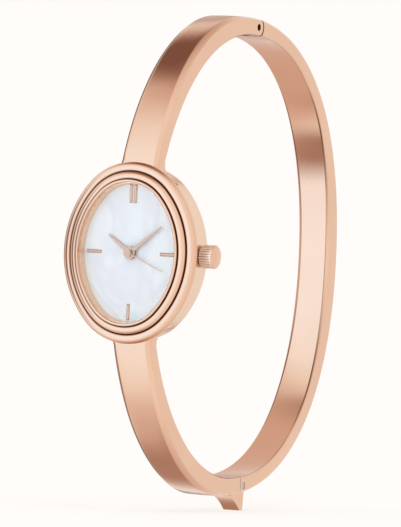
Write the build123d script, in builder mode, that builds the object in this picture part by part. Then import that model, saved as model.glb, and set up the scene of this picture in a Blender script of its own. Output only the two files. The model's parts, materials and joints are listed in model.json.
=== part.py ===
from build123d import *
from math import atan2, cos, degrees, radians, sin
import os

# A small oval bangle watch. +X runs along the bangle's opening, from 9 o'clock to
# 3 o'clock. -Y is the way the dial faces and +Z is 12 o'clock. The origin is the
# middle of the wrist opening. A level is a distance in front of the origin, along -Y.

# Bangle in its side view: the oval of the wrist opening, in four quarter curves, and the
# thickness of the band that makes the outer oval
inner_front_depth = 25.3
inner_rear_depth = 27.4
inner_half_height = 30.15
inner_apex_shift = 1.0
front_thickness = 2.15
rear_thickness = 2.8
top_thickness = 2.45
outer_apex_shift = -1.3
front_fullness_share = 0.55
rear_fullness_share = 0.62

# Bangle in its front view
band_width_front = 5.5
band_width_rear = 4.8
arm_bevel = 0.5
bow_outer_round = 0.35
band_inner_round = 0.2
rear_bevel_width = 0.45
rear_bevel_drop = 0.33

# Case, an oval of four arcs that every level of it is drawn in from
case_half_width = 9.95
case_half_height = 12.1
case_end_share = 0.859
dial_rise = 1.25
bezel_seat_drop = 0.5
case_depth = 3.85
case_side_inset = 0.6
case_wall = 0.97
case_back_round = 0.45
seam = 0.03

# Bezel: an outer roll, an inner roll that stands higher, and a thin lip
outer_roll_radius = 0.8
outer_roll_rise = 0.1
inner_roll_inset = 1.95
inner_roll_radius = 0.7
inner_roll_rise = 0.62
lip_inset = 2.53
lip_radius = 0.2
lip_rise = 1.4
skirt_depth = 0.6
skirt_clearance = 0.05
skirt_thickness = 0.75

# Crystal and the sloped ring under it
crystal_thickness = 0.5
crystal_top_drop = 0.1
crystal_flange_width = 0.25
crystal_flange_thickness = 0.2
crystal_clearance = 0.03
gasket_thickness = 0.2
gasket_width = 0.15
dial_opening_inset = 3.01
dial_ring_slope = 0.17
dial_ring_lip = 0.16
glass_fit = 0.02

# Dial and its applied bars
dial_thickness = 0.4
dial_hole_radius = 0.62
bar_height = 0.16
bar_ridge_chamfer = 0.1
bar_width = 0.44
twelve_bar_length = 2.4
twelve_bar_gap = 0.2
six_bar_length = 2.15
side_bar_length = 2.2
vertical_bar_radius = 7.85
side_bar_radius = 5.5

# Hands, set at eight and a half minutes past ten and nineteen seconds
hand_thickness = 0.12
hand_gap = 0.09
hour_hand_rise = 0.2
hour_hand_length = 4.0
minute_hand_length = 5.9
second_hand_length = 5.6
hour_hand_angle = 304.9
minute_hand_angle = 51.5
second_hand_angle = 114.2
hand_root_width = 0.62
hand_tip_width = 0.2
second_root_width = 0.2
second_tip_width = 0.1
hour_hub_radius = 0.88
minute_hub_radius = 0.84
second_hub_radius = 0.5
second_hub_cap = 0.14

# Motion work under the dial: pitch radii and tubes
running_fit = 0.04
motion_spacing = 2.1
minute_wheel_ratio = 3
hour_wheel_ratio = 4
minute_wheel_angle = 35.0
mesh_gap = 0.03
cannon_tube_radius = 0.3
second_arbor_radius = 0.14
hour_tube_wall = 0.14
minute_post_radius = 0.16
motion_wheel_thickness = 0.2
motion_pocket_depth = 0.75
motion_pocket_margin = 0.25

# Movement
plate_inset = 2.75
plate_thickness = 1.2
holder_inset = 1.67
holder_wall = 0.95
bridge_thickness = 0.45
train_gap = 1.0
train_clearance = 0.08
wheel_thickness = 0.12
wheel_pitch = 0.22
train_spacing = 2.1
centre_ratio = 7.5
third_ratio = 8
third_wheel_angle = 180.0
fifth_spacing = 2.1
second_ratio = 6
fifth_wheel_angle = 120.0
rotor_spacing = 1.5
fifth_ratio = 5
rotor_radius = 0.6
rotor_thickness = 0.5
rotor_hole_gap = 0.15
pivot_radius = 0.12
stator_thickness = 0.45
stator_wall = 0.25
stator_bar_width = 0.8
stator_bar_height = 4.9
stator_half_span = 3.6
coil_height = 6.6
coil_radius = 0.7
coil_length = 5.4
coil_core_radius = 0.3
pillar_radius = 0.35
pillar_place_shares = ((-2.06, -0.59), (-1.51, 1.07), (0.66, 1.18), (0.88, -0.66))
board_thickness = 0.25
board_width = 3.0
board_height = 2.4
board_across = 3.9
board_up = 2.95
chip_size = 1.1
chip_thickness = 0.3
quartz_can_radius = 0.4
quartz_can_length = 2.4
battery_drop = 5.3
battery_radius = 3.4
battery_thickness = 2.1
battery_pocket_depth = 0.3
battery_fit = 0.15
strap_thickness = 0.12
strap_width = 1.6
screw_radius = 0.18
screw_head_radius = 0.5
screw_head_height = 0.25
screw_slot_width = 0.12
bridge_margin = 0.25

# Keyless work and crown
crown_drop = 2.7
crown_gap = 0.1
crown_radius = 1.57
crown_length = 1.95
crown_dome = 0.2
crown_chamfer = 0.17
crown_recess_depth = 1.0
crown_flutes = 28
flute_radius = 0.1
crown_pull = 0.6
tube_radius = 0.8
tube_wall = 0.25
tube_length = 2.3
stem_radius = 0.4
stem_inner_end = 2.7
stem_square = 0.5
clutch_radius = 0.75
clutch_length = 1.1
clutch_start = 3.1
clutch_teeth = 12
clutch_tooth_radius = 0.11
stem_block_start = 4.7
stem_block_length = 1.5
stem_block_width = 2.2
crown_gasket_length = 0.3
gasket_groove_depth = 0.1
lever_thickness = 0.25
lever_arm = 1.6
lever_width = 0.7
lever_nose_width = 0.25
lever_groove_width = 0.45
lever_groove_depth = 0.15
lever_across = 6.55

# Caseback
caseback_inset = 1.1
caseback_thickness = 0.85
caseback_skirt_depth = 0.5
caseback_skirt_wall = 0.55
caseback_round = 0.35
caseback_gasket_thickness = 0.2
caseback_gasket_margin = 0.12
caseback_gasket_width = 0.28

# Hinge at the top, where the rear bow turns on the two front arms
hinge_back = 2.6
hinge_drop = 0.12
hinge_radius = 1.25
hinge_gap = 0.06
hinge_neck = 1.5
hinge_pin_radius = 0.48
hinge_pin_recess = 0.45
hinge_tongue_share = 0.36
hinge_opening = 40.0
hinge_spare_angle = 2.0

# Clasp at the bottom: a sprung tongue with a bead, its socket and the thumb lip
clasp_back = 3.55
clasp_gap = 0.08
tongue_length = 2.2
tongue_width = 2.7
tongue_thickness = 0.75
tongue_clearance = 0.15
tongue_seat_length = 1.6
tongue_pin_radius = 0.3
tongue_pin_inset = 0.87
tongue_pin_recess = 0.08
tongue_pin_head_radius = 0.5
tongue_pin_head_length = 0.35
bead_radius = 0.35
bead_rise = 0.12
socket_wall = 0.2
lip_width = 2.5
lip_depth = 2.15
lip_front_reach = 0.75
lip_front_thickness = 0.12
lip_back_start = 3.75
lip_tip_back = 3.5
lip_tip_thickness = 0.85
lip_hollow = 0.25

# Shoulders where the arms meet the case
shoulder_start = 12.7
shoulder_half_width = 5.5
shoulder_end = 9.3
arm_root_height = 7.0

# Shared overrun of every through cut
overrun = 1.0

# Values worked out from the sizes above
outer_front_depth = inner_front_depth + front_thickness
outer_rear_depth = inner_rear_depth + rear_thickness
outer_half_height = inner_half_height + top_thickness
dial_level = inner_front_depth + dial_rise
end_radius = case_end_share * case_half_width
end_centre = case_half_height - end_radius
side_radius = (case_half_width**2 + end_centre**2 - end_radius**2) / (2 * (case_half_width - end_radius))
side_centre = side_radius - case_half_width
side_turn = degrees(atan2(end_centre, side_centre))
bezel_back = dial_level - bezel_seat_drop
case_back = bezel_back - case_depth
bore_inset = case_side_inset + case_wall
crown_level = dial_level - crown_drop
crown_start = case_half_width - case_side_inset + crown_gap


# The oval's four arcs: centre across and up, radius, start angle and turn
case_arcs = (
    (-side_centre, 0, side_radius, -side_turn, 2 * side_turn),
    (0, end_centre, end_radius, side_turn, 180 - 2 * side_turn),
    (side_centre, 0, side_radius, 180 - side_turn, 2 * side_turn),
    (0, -end_centre, end_radius, 180 + side_turn, 180 - 2 * side_turn),
)


def case_oval(level, inset):
    """Face of the case's oval at a level, drawn in by an inset and facing the dial's way"""
    with BuildSketch(Plane.XZ.offset(level)) as oval:
        with BuildLine():
            for across, up, radius, start, turn in case_arcs:
                CenterArc((across, up), radius - inset, start, turn)
        make_face()
    return oval.sketch


def rim(profile):
    """Solid ring with a profile, drawn with its x as the inset from the case's oval and its y as
    the rise above the dial, and turned about the centre of each arc of the oval"""
    with BuildPart() as ring:
        for across, up, radius, start, turn in case_arcs:
            outward = Vector(cos(radians(start)), 0, sin(radians(start)))
            centre = Vector(across, -dial_level, up)
            facing = outward.cross(Vector(0, 1, 0))
            plane = Plane(origin=centre + outward * radius, x_dir=-outward, z_dir=facing)
            revolve(plane * profile, axis=Axis(centre, (0, -1, 0)), revolution_arc=turn)
    return ring.part


def disc(level, radius, across=0, up=0):
    """Round face at a level, facing the dial's way"""
    with BuildSketch(Plane.XZ.offset(level)) as face:
        with Locations((across, up)):
            Circle(radius)
    return face.sketch


def stem_disc(across, radius):
    """Round face on the stem's axis, facing away from the middle"""
    with BuildSketch(Plane(origin=(across, -crown_level, 0), x_dir=(0, 1, 0), z_dir=(1, 0, 0))) as face:
        Circle(radius)
    return face.sketch


# Middle part of the case
with BuildPart() as mid_case:
    extrude(case_oval(case_back, case_side_inset), amount=case_depth)
    fillet(mid_case.faces().sort_by(Axis.Y)[-1].edges(), case_back_round)
    extrude(case_oval(case_back, bore_inset), amount=case_depth, mode=Mode.SUBTRACT)
    extrude(stem_disc(0, tube_radius + glass_fit), amount=case_half_width, mode=Mode.SUBTRACT)
mid_case.part.label = "mid_case"

# Bezel, a profile of three rolls turned round the oval
lip_inner_inset = lip_inset + lip_radius
lip_top = lip_rise + lip_radius
crystal_top = lip_top - crystal_top_drop
crystal_base = crystal_top - crystal_thickness
crystal_inset = lip_inner_inset + crystal_clearance
flange_inset = crystal_inset - crystal_flange_width
flange_top = crystal_base + crystal_flange_thickness
rebate_inset = flange_inset - crystal_clearance
rebate_top = flange_top + glass_fit
skirt_outer_inset = bore_inset + skirt_clearance
skirt_base = -bezel_seat_drop - skirt_depth
roll_inset = outer_roll_radius

with BuildSketch() as bezel_profile:
    with Locations((roll_inset, outer_roll_rise)):
        Circle(outer_roll_radius)
    with Locations((inner_roll_inset, inner_roll_rise)):
        Circle(inner_roll_radius)
    with Locations((roll_inset, -bezel_seat_drop)):
        Rectangle(lip_inner_inset - roll_inset, bezel_seat_drop + outer_roll_rise, align=Align.MIN)
    with Locations((inner_roll_inset, 0)):
        Rectangle(lip_inner_inset - inner_roll_inset, rebate_top + glass_fit, align=Align.MIN)
    with Locations((lip_inset - lip_radius, 0)):
        Rectangle(2 * lip_radius, lip_rise, align=Align.MIN)
    with Locations((lip_inset, lip_rise)):
        Circle(lip_radius)
    with Locations((0, -bezel_seat_drop)):
        Rectangle(case_half_width, case_half_width, align=(Align.MIN, Align.MAX), mode=Mode.SUBTRACT)
    with Locations((skirt_outer_inset, skirt_base)):
        Rectangle(skirt_thickness, skirt_depth, align=Align.MIN)
    with Locations((rebate_inset, skirt_base)):
        Rectangle(case_half_width, rebate_top - skirt_base, align=Align.MIN, mode=Mode.SUBTRACT)

with BuildPart() as bezel:
    add(rim(bezel_profile.sketch))
bezel.part.label = "bezel"

# Flanged crystal, its gasket and the sloped ring that holds them up
with BuildPart() as crystal:
    extrude(case_oval(dial_level + crystal_base, crystal_inset), amount=crystal_thickness)
    extrude(case_oval(dial_level + crystal_base, flange_inset), amount=crystal_flange_thickness)
crystal.part.label = "crystal"

gasket_base = crystal_base - gasket_thickness
with BuildPart() as crystal_gasket:
    extrude(case_oval(dial_level + gasket_base, flange_inset), amount=gasket_thickness)
    inner_face = case_oval(dial_level + gasket_base, flange_inset + gasket_width)
    extrude(inner_face, amount=gasket_thickness, mode=Mode.SUBTRACT)
crystal_gasket.part.label = "crystal_gasket"

ring_top = crystal_base - glass_fit
ring_step = gasket_base - glass_fit
ring_top_inset = dial_opening_inset - dial_ring_slope
ring_outer_inset = rebate_inset + glass_fit
with BuildSketch() as ring_profile:
    with BuildLine():
        Polyline(
            (dial_opening_inset, 0),
            (ring_top_inset, ring_top),
            (ring_top_inset - dial_ring_lip, ring_top),
            (ring_top_inset - dial_ring_lip, ring_step),
            (ring_outer_inset, ring_step),
            (ring_outer_inset, 0),
            close=True,
        )
    make_face()

with BuildPart() as dial_ring:
    add(rim(ring_profile.sketch))
dial_ring.part.label = "dial_ring"

# Dial and the bars applied to it: a pair at 12, one each at 3, 6 and 9
dial_back = dial_level - dial_thickness
with BuildPart() as dial:
    extrude(case_oval(dial_back, ring_outer_inset), amount=dial_thickness)
    extrude(disc(dial_back, dial_hole_radius), amount=dial_thickness, mode=Mode.SUBTRACT)
dial.part.label = "dial"

with BuildPart() as hour_markers:
    with BuildSketch(Plane.XZ.offset(dial_level)):
        for side in (-1, 1):
            with Locations((side * (bar_width + twelve_bar_gap) / 2, vertical_bar_radius)):
                Rectangle(bar_width, twelve_bar_length)
            with Locations((side * side_bar_radius, 0)):
                Rectangle(side_bar_length, bar_width)
        with Locations((0, -vertical_bar_radius)):
            Rectangle(bar_width, six_bar_length)
    extrude(amount=bar_height)
    chamfer(hour_markers.faces().group_by(Axis.Y)[0].edges(), bar_ridge_chamfer)
hour_markers.part.label = "hour_markers"

# Pitch radii of the motion work, from its spacing and its ratios
cannon_pinion_radius = motion_spacing / (1 + minute_wheel_ratio)
minute_wheel_radius = motion_spacing - cannon_pinion_radius
minute_pinion_radius = motion_spacing / (1 + hour_wheel_ratio)
hour_wheel_radius = motion_spacing - minute_pinion_radius
cannon_bore = second_arbor_radius + running_fit
hour_tube_bore = cannon_tube_radius + running_fit
hour_tube_radius = hour_tube_bore + hour_tube_wall
minute_wheel_across = (motion_spacing + mesh_gap) * cos(radians(minute_wheel_angle))
minute_wheel_up = (motion_spacing + mesh_gap) * sin(radians(minute_wheel_angle))

# Levels of the hands above the dial
hour_hand_base = dial_level + hour_hand_rise
minute_hand_base = hour_hand_base + hand_thickness + hand_gap
second_hand_base = minute_hand_base + hand_thickness + hand_gap

# Levels of the motion work, in a pocket of the main plate under the dial
hour_wheel_base = dial_back - train_clearance - motion_wheel_thickness
minute_wheel_base = hour_wheel_base - train_clearance - motion_wheel_thickness
motion_floor = dial_back - motion_pocket_depth

# Levels of the train behind the main plate, one wheel to a level
plate_back = dial_back - plate_thickness
centre_wheel_base = plate_back - train_clearance - wheel_thickness
third_wheel_base = centre_wheel_base - wheel_pitch
second_wheel_base = third_wheel_base - wheel_pitch
fifth_wheel_base = second_wheel_base - wheel_pitch
bridge_front = plate_back - train_gap
bridge_back = bridge_front - bridge_thickness


def hand_blade(length, root_width, tip_width, angle):
    """Outline of a tapering hand, turned clockwise from 12 o'clock"""
    with BuildSketch() as blade:
        with BuildLine():
            Polyline(
                (-root_width / 2, 0),
                (-tip_width / 2, length),
                (tip_width / 2, length),
                (root_width / 2, 0),
                close=True,
            )
        make_face()
    return blade.sketch.rotate(Axis.Z, -angle)


# Hour hand on the hour wheel's tube
with BuildPart() as hour_hand:
    with BuildSketch(Plane.XZ.offset(hour_hand_base)):
        add(hand_blade(hour_hand_length, hand_root_width, hand_tip_width, hour_hand_angle))
        Circle(hour_hub_radius)
        Circle(hour_tube_radius, mode=Mode.SUBTRACT)
    extrude(amount=hand_thickness)
hour_hand.part.label = "hour_hand"

with BuildPart() as hour_wheel:
    extrude(disc(hour_wheel_base, hour_wheel_radius - mesh_gap), amount=motion_wheel_thickness)
    tube_top = hour_hand_base + hand_thickness
    extrude(disc(hour_wheel_base, hour_tube_radius), amount=tube_top - hour_wheel_base)
    extrude(disc(hour_wheel_base, hour_tube_bore), amount=tube_top - hour_wheel_base, mode=Mode.SUBTRACT)
hour_wheel.part.label = "hour_wheel"

# Minute hand on the cannon pinion
with BuildPart() as minute_hand:
    with BuildSketch(Plane.XZ.offset(minute_hand_base)):
        add(hand_blade(minute_hand_length, hand_root_width, hand_tip_width, minute_hand_angle))
        Circle(minute_hub_radius)
        Circle(cannon_tube_radius, mode=Mode.SUBTRACT)
    extrude(amount=hand_thickness)
minute_hand.part.label = "minute_hand"

cannon_base = centre_wheel_base
with BuildPart() as cannon_pinion:
    tube_rise = minute_hand_base + hand_thickness - cannon_base
    extrude(disc(cannon_base, cannon_tube_radius), amount=tube_rise)
    extrude(disc(minute_wheel_base, cannon_pinion_radius), amount=motion_wheel_thickness)
    extrude(disc(cannon_base, cannon_bore), amount=tube_rise, mode=Mode.SUBTRACT)
cannon_pinion.part.label = "cannon_pinion"

# Minute wheel with its pinion, which turns on a post of the main plate
post_bore = minute_post_radius + running_fit
with BuildPart() as minute_wheel:
    wheel_rise = hour_wheel_base + motion_wheel_thickness - minute_wheel_base
    at_wheel = (minute_wheel_across, minute_wheel_up)
    extrude(disc(minute_wheel_base, minute_wheel_radius - mesh_gap, *at_wheel), amount=motion_wheel_thickness)
    extrude(disc(minute_wheel_base, minute_pinion_radius, *at_wheel), amount=wheel_rise)
    extrude(disc(minute_wheel_base, post_bore, *at_wheel), amount=wheel_rise, mode=Mode.SUBTRACT)
minute_wheel.part.label = "minute_wheel"

# Going train: pitch radii from the spacings and the ratios
third_pinion_radius = train_spacing / (1 + centre_ratio)
centre_wheel_radius = train_spacing - third_pinion_radius
second_pinion_radius = train_spacing / (1 + third_ratio)
third_wheel_radius = train_spacing - second_pinion_radius
fifth_pinion_radius = fifth_spacing / (1 + second_ratio)
second_wheel_radius = fifth_spacing - fifth_pinion_radius
rotor_pinion_radius = rotor_spacing / (1 + fifth_ratio)
fifth_wheel_radius = rotor_spacing - rotor_pinion_radius
third_across = (train_spacing + mesh_gap) * cos(radians(third_wheel_angle))
third_up = (train_spacing + mesh_gap) * sin(radians(third_wheel_angle))
fifth_across = (fifth_spacing + mesh_gap) * cos(radians(fifth_wheel_angle))
fifth_up = (fifth_spacing + mesh_gap) * sin(radians(fifth_wheel_angle))
rotor_across = fifth_across + (rotor_spacing + mesh_gap) * cos(radians(fifth_wheel_angle))
rotor_up = fifth_up + (rotor_spacing + mesh_gap) * sin(radians(fifth_wheel_angle))
pivot_bore = pivot_radius + running_fit
pivot_sink = bridge_thickness / 2

with BuildPart() as centre_wheel:
    extrude(disc(centre_wheel_base, centre_wheel_radius - mesh_gap), amount=wheel_thickness)
    bore_radius = cannon_tube_radius + running_fit
    extrude(disc(centre_wheel_base, bore_radius), amount=wheel_thickness, mode=Mode.SUBTRACT)
centre_wheel.part.label = "centre_wheel"

with BuildPart() as third_wheel:
    at_third = (third_across, third_up)
    extrude(disc(third_wheel_base, third_wheel_radius - mesh_gap, *at_third), amount=wheel_thickness)
    pinion_rise = centre_wheel_base + wheel_thickness - third_wheel_base
    extrude(disc(third_wheel_base, third_pinion_radius - mesh_gap, *at_third), amount=pinion_rise)
    arbor_base = bridge_front - pivot_sink
    arbor_rise = train_gap + 2 * pivot_sink
    extrude(disc(arbor_base, pivot_radius, *at_third), amount=arbor_rise)
third_wheel.part.label = "third_wheel"

# Second hand's wheel, with the long arbor that runs up through the cannon pinion
with BuildPart() as second_wheel:
    extrude(disc(second_wheel_base, second_wheel_radius - mesh_gap), amount=wheel_thickness)
    pinion_rise = third_wheel_base + wheel_thickness - second_wheel_base
    extrude(disc(second_wheel_base, second_pinion_radius - mesh_gap), amount=pinion_rise)
    arbor_base = bridge_front - pivot_sink
    extrude(disc(arbor_base, second_arbor_radius), amount=second_hand_base + hand_thickness - arbor_base)
second_wheel.part.label = "second_wheel"

with BuildPart() as second_hand:
    with BuildSketch(Plane.XZ.offset(second_hand_base)):
        add(hand_blade(second_hand_length, second_root_width, second_tip_width, second_hand_angle))
        Circle(second_hub_radius)
    extrude(amount=hand_thickness)
    cap_base = second_hand_base + hand_thickness
    extrude(disc(cap_base, second_hub_radius - hand_gap), amount=second_hub_cap)
    extrude(disc(second_hand_base, second_arbor_radius), amount=hand_thickness, mode=Mode.SUBTRACT)
second_hand.part.label = "second_hand"

with BuildPart() as fifth_wheel:
    at_fifth = (fifth_across, fifth_up)
    extrude(disc(fifth_wheel_base, fifth_wheel_radius - mesh_gap, *at_fifth), amount=wheel_thickness)
    pinion_rise = second_wheel_base + wheel_thickness - fifth_wheel_base
    extrude(disc(fifth_wheel_base, fifth_pinion_radius - mesh_gap, *at_fifth), amount=pinion_rise)
    arbor_base = bridge_front - pivot_sink
    extrude(disc(arbor_base, pivot_radius, *at_fifth), amount=arbor_rise)
fifth_wheel.part.label = "fifth_wheel"

# Rotor of the stepping motor, with the stator, the coil and its core
rotor_base = plate_back - train_clearance - rotor_thickness
at_rotor = (rotor_across, rotor_up)
with BuildPart() as rotor:
    extrude(disc(rotor_base, rotor_radius, *at_rotor), amount=rotor_thickness)
    pinion_face = disc(fifth_wheel_base, rotor_pinion_radius - mesh_gap, *at_rotor)
    extrude(pinion_face, amount=rotor_base - fifth_wheel_base)
    extrude(disc(arbor_base, pivot_radius, *at_rotor), amount=arbor_rise)
rotor.part.label = "rotor"

stator_base = plate_back - stator_thickness
stator_hole = rotor_radius + rotor_hole_gap
with BuildPart() as stator:
    with BuildSketch(Plane.XZ.offset(stator_base)):
        with Locations(at_rotor):
            Circle(stator_hole + stator_wall)
            Rectangle(2 * stator_hole, stator_bar_height - rotor_up, align=(Align.CENTER, Align.MIN))
        with Locations((0, stator_bar_height)):
            Rectangle(2 * stator_half_span, stator_bar_width)
        for side in (-1, 1):
            with Locations((side * (stator_half_span - stator_bar_width / 2), stator_bar_height)):
                Rectangle(stator_bar_width, coil_height - stator_bar_height, align=(Align.CENTER, Align.MIN))
        with Locations(at_rotor):
            Circle(stator_hole, mode=Mode.SUBTRACT)
    extrude(amount=stator_thickness)
stator.part.label = "stator"

# The coil's core is a bar screwed down on the stator's two legs
coil_level = stator_base - coil_core_radius
with BuildPart() as coil_core:
    with BuildSketch(Plane.XZ.offset(stator_base - 2 * coil_core_radius)):
        with Locations((0, coil_height)):
            Rectangle(2 * stator_half_span, 2 * coil_core_radius)
    extrude(amount=2 * coil_core_radius)
coil_core.part.label = "coil_core"

coil_plane = Plane.YZ.offset(-coil_length / 2)
with BuildPart() as coil:
    with BuildSketch(coil_plane):
        with Locations((-coil_level, coil_height)):
            Circle(coil_radius)
            Rectangle(2 * coil_core_radius, 2 * coil_core_radius, mode=Mode.SUBTRACT)
    extrude(amount=coil_length)
coil.part.label = "coil"

# Main plate: pockets for the motion work and the battery, pillars and the stem block
battery_floor = plate_back + battery_pocket_depth
battery_room_radius = battery_radius + battery_fit
lever_post_up = stem_radius - lever_groove_depth + running_fit + lever_arm
pillar_places = [(across * train_spacing, up * train_spacing) for across, up in pillar_place_shares]
pivot_places = ((third_across, third_up), (fifth_across, fifth_up), at_rotor)
with BuildPart() as main_plate:
    extrude(case_oval(plate_back, plate_inset), amount=plate_thickness)
    with BuildSketch(Plane.XZ.offset(motion_floor)):
        Circle(hour_wheel_radius + motion_pocket_margin)
        with Locations((minute_wheel_across, minute_wheel_up)):
            Circle(minute_wheel_radius + motion_pocket_margin)
    extrude(amount=motion_pocket_depth, mode=Mode.SUBTRACT)
    minute_post = disc(motion_floor, minute_post_radius, minute_wheel_across, minute_wheel_up)
    extrude(minute_post, amount=motion_pocket_depth)
    battery_face = disc(plate_back, battery_room_radius, 0, -battery_drop)
    extrude(battery_face, amount=battery_pocket_depth, mode=Mode.SUBTRACT)
    centre_hole = disc(plate_back, cannon_tube_radius + running_fit)
    extrude(centre_hole, amount=plate_thickness, mode=Mode.SUBTRACT)
    for place in (*pivot_places, (lever_across, lever_post_up)):
        extrude(disc(plate_back, pivot_bore, *place), amount=pivot_sink + running_fit, mode=Mode.SUBTRACT)
    for place in pillar_places:
        extrude(disc(bridge_front, pillar_radius, *place), amount=train_gap)
    with BuildSketch(Plane.XZ.offset(plate_back)):
        with Locations((stem_block_start, 0)):
            Rectangle(stem_block_length, stem_block_width, align=(Align.MIN, Align.CENTER))
    extrude(amount=crown_level - tube_radius - plate_back)
    stem_hole = stem_disc(stem_block_start, stem_radius + running_fit)
    extrude(stem_hole, amount=stem_block_length, mode=Mode.SUBTRACT)
    for place in pillar_places:
        extrude(disc(bridge_front, screw_radius, *place), amount=train_gap, mode=Mode.SUBTRACT)
main_plate.part.label = "main_plate"

# Train bridge on the four pillars, with its screws
with BuildPart() as train_bridge:
    with BuildSketch(Plane.XZ.offset(bridge_back)):
        with Locations(*pillar_places):
            Circle(screw_head_radius + bridge_margin)
        make_hull()
    extrude(amount=bridge_thickness)
    battery_room = disc(bridge_back, battery_room_radius, 0, -battery_drop)
    extrude(battery_room, amount=bridge_thickness, mode=Mode.SUBTRACT)
    arbor_sink = pivot_sink + running_fit
    for place in pivot_places:
        extrude(disc(bridge_front - arbor_sink, pivot_bore, *place), amount=arbor_sink, mode=Mode.SUBTRACT)
    seconds_bore = disc(bridge_front - arbor_sink, second_arbor_radius + running_fit)
    extrude(seconds_bore, amount=arbor_sink, mode=Mode.SUBTRACT)
    for place in pillar_places:
        extrude(disc(bridge_back, screw_radius, *place), amount=bridge_thickness, mode=Mode.SUBTRACT)
train_bridge.part.label = "train_bridge"

with BuildPart() as bridge_screws:
    for place in pillar_places:
        extrude(disc(bridge_back - screw_head_height, screw_head_radius, *place), amount=screw_head_height)
        shank = disc(bridge_back, screw_radius - glass_fit, *place)
        extrude(shank, amount=bridge_thickness + train_gap / 2)
    with BuildSketch(Plane.XZ.offset(bridge_back - screw_head_height)):
        with Locations(*pillar_places):
            Rectangle(2 * screw_head_radius, screw_slot_width)
    extrude(amount=screw_head_height / 2, mode=Mode.SUBTRACT)
bridge_screws.part.label = "bridge_screws"

# Circuit board with its chip, and the quartz crystal's can
board_base = plate_back - board_thickness
with BuildPart() as circuit_board:
    with BuildSketch(Plane.XZ.offset(board_base)):
        with Locations((board_across, board_up)):
            Rectangle(board_width, board_height)
    extrude(amount=board_thickness)
circuit_board.part.label = "circuit_board"

with BuildPart() as chip:
    with BuildSketch(Plane.XZ.offset(board_base - chip_thickness)):
        with Locations((board_across - chip_size / 2, board_up)):
            Rectangle(chip_size, chip_size)
    extrude(amount=chip_thickness)
chip.part.label = "chip"

can_centre = board_across + quartz_can_radius + (board_width - chip_size) / 4
with BuildPart() as quartz_can:
    can_plane = Plane.XY.offset(board_up - quartz_can_length / 2)
    with BuildSketch(can_plane):
        with Locations((can_centre, quartz_can_radius - board_base)):
            Circle(quartz_can_radius)
    extrude(amount=quartz_can_length)
quartz_can.part.label = "quartz_can"

# Battery in its pocket and the strap that presses on it
battery_front = battery_floor - running_fit
battery_back = battery_front - battery_thickness
with BuildPart() as battery:
    extrude(disc(battery_back, battery_radius, 0, -battery_drop), amount=battery_thickness)
    fillet(battery.faces().sort_by(Axis.Y)[-1].edges(), battery_fit)
battery.part.label = "battery"

with BuildPart() as battery_strap:
    with BuildSketch(Plane.XZ.offset(battery_back - strap_thickness)):
        with Locations((0, -battery_drop)):
            Rectangle(2 * battery_room_radius, strap_width)
    extrude(amount=strap_thickness)
    with BuildSketch(Plane.XZ.offset(battery_back - strap_thickness)):
        with Locations((-battery_room_radius, -battery_drop), (battery_room_radius, -battery_drop)):
            Rectangle(strap_thickness, strap_width)
    extrude(amount=plate_back - battery_back + strap_thickness)
battery_strap.part.label = "battery_strap"

# Ring that centres the movement in the case
holder_front = dial_level + skirt_base - seam
holder_back = case_back + caseback_skirt_depth + seam
with BuildPart() as movement_holder:
    extrude(case_oval(holder_back, holder_inset), amount=holder_front - holder_back)
    holder_hole = case_oval(holder_back, holder_inset + holder_wall)
    extrude(holder_hole, amount=holder_front - holder_back, mode=Mode.SUBTRACT)
    extrude(stem_disc(0, tube_radius), amount=case_half_width, mode=Mode.SUBTRACT)
movement_holder.part.label = "movement_holder"

# Crown tube, pressed in the case wall and standing a little proud of it
recess_floor = crown_start + crown_recess_depth
tube_start = recess_floor - crown_gasket_length / 2 - tube_length
tube_bore = tube_radius - tube_wall
with BuildPart() as crown_tube:
    extrude(stem_disc(tube_start, tube_radius), amount=tube_length)
    extrude(stem_disc(tube_start, tube_bore), amount=tube_length, mode=Mode.SUBTRACT)
crown_tube.part.label = "crown_tube"

# Crown with fluted side, chamfered edges and a low domed cap
crown_end = crown_start + crown_length
rim_radius = crown_radius - crown_chamfer
dome_radius = (rim_radius**2 + crown_dome**2) / (2 * crown_dome)
crown_bore = tube_radius + running_fit
with BuildPart() as crown:
    with BuildSketch(Plane.XZ.offset(crown_level)):
        with BuildLine():
            Polyline(
                (crown_end + crown_dome, 0),
                (crown_start, 0),
                (crown_start, rim_radius),
                (crown_start + crown_chamfer, crown_radius),
                (crown_end - crown_chamfer, crown_radius),
                (crown_end, rim_radius),
            )
            RadiusArc((crown_end, rim_radius), (crown_end + crown_dome, 0), dome_radius)
        make_face()
    revolve(axis=Axis((0, -crown_level, 0), (1, 0, 0)))
    with BuildSketch(Plane(origin=(crown_start, -crown_level, 0), x_dir=(0, 1, 0), z_dir=(1, 0, 0))):
        with PolarLocations(crown_radius, crown_flutes):
            Circle(flute_radius)
    extrude(amount=crown_length - crown_chamfer, mode=Mode.SUBTRACT)
    extrude(stem_disc(crown_start, crown_bore), amount=crown_recess_depth, mode=Mode.SUBTRACT)
    extrude(stem_disc(recess_floor, stem_radius), amount=stem_radius, mode=Mode.SUBTRACT)
crown.part.label = "crown"

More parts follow.
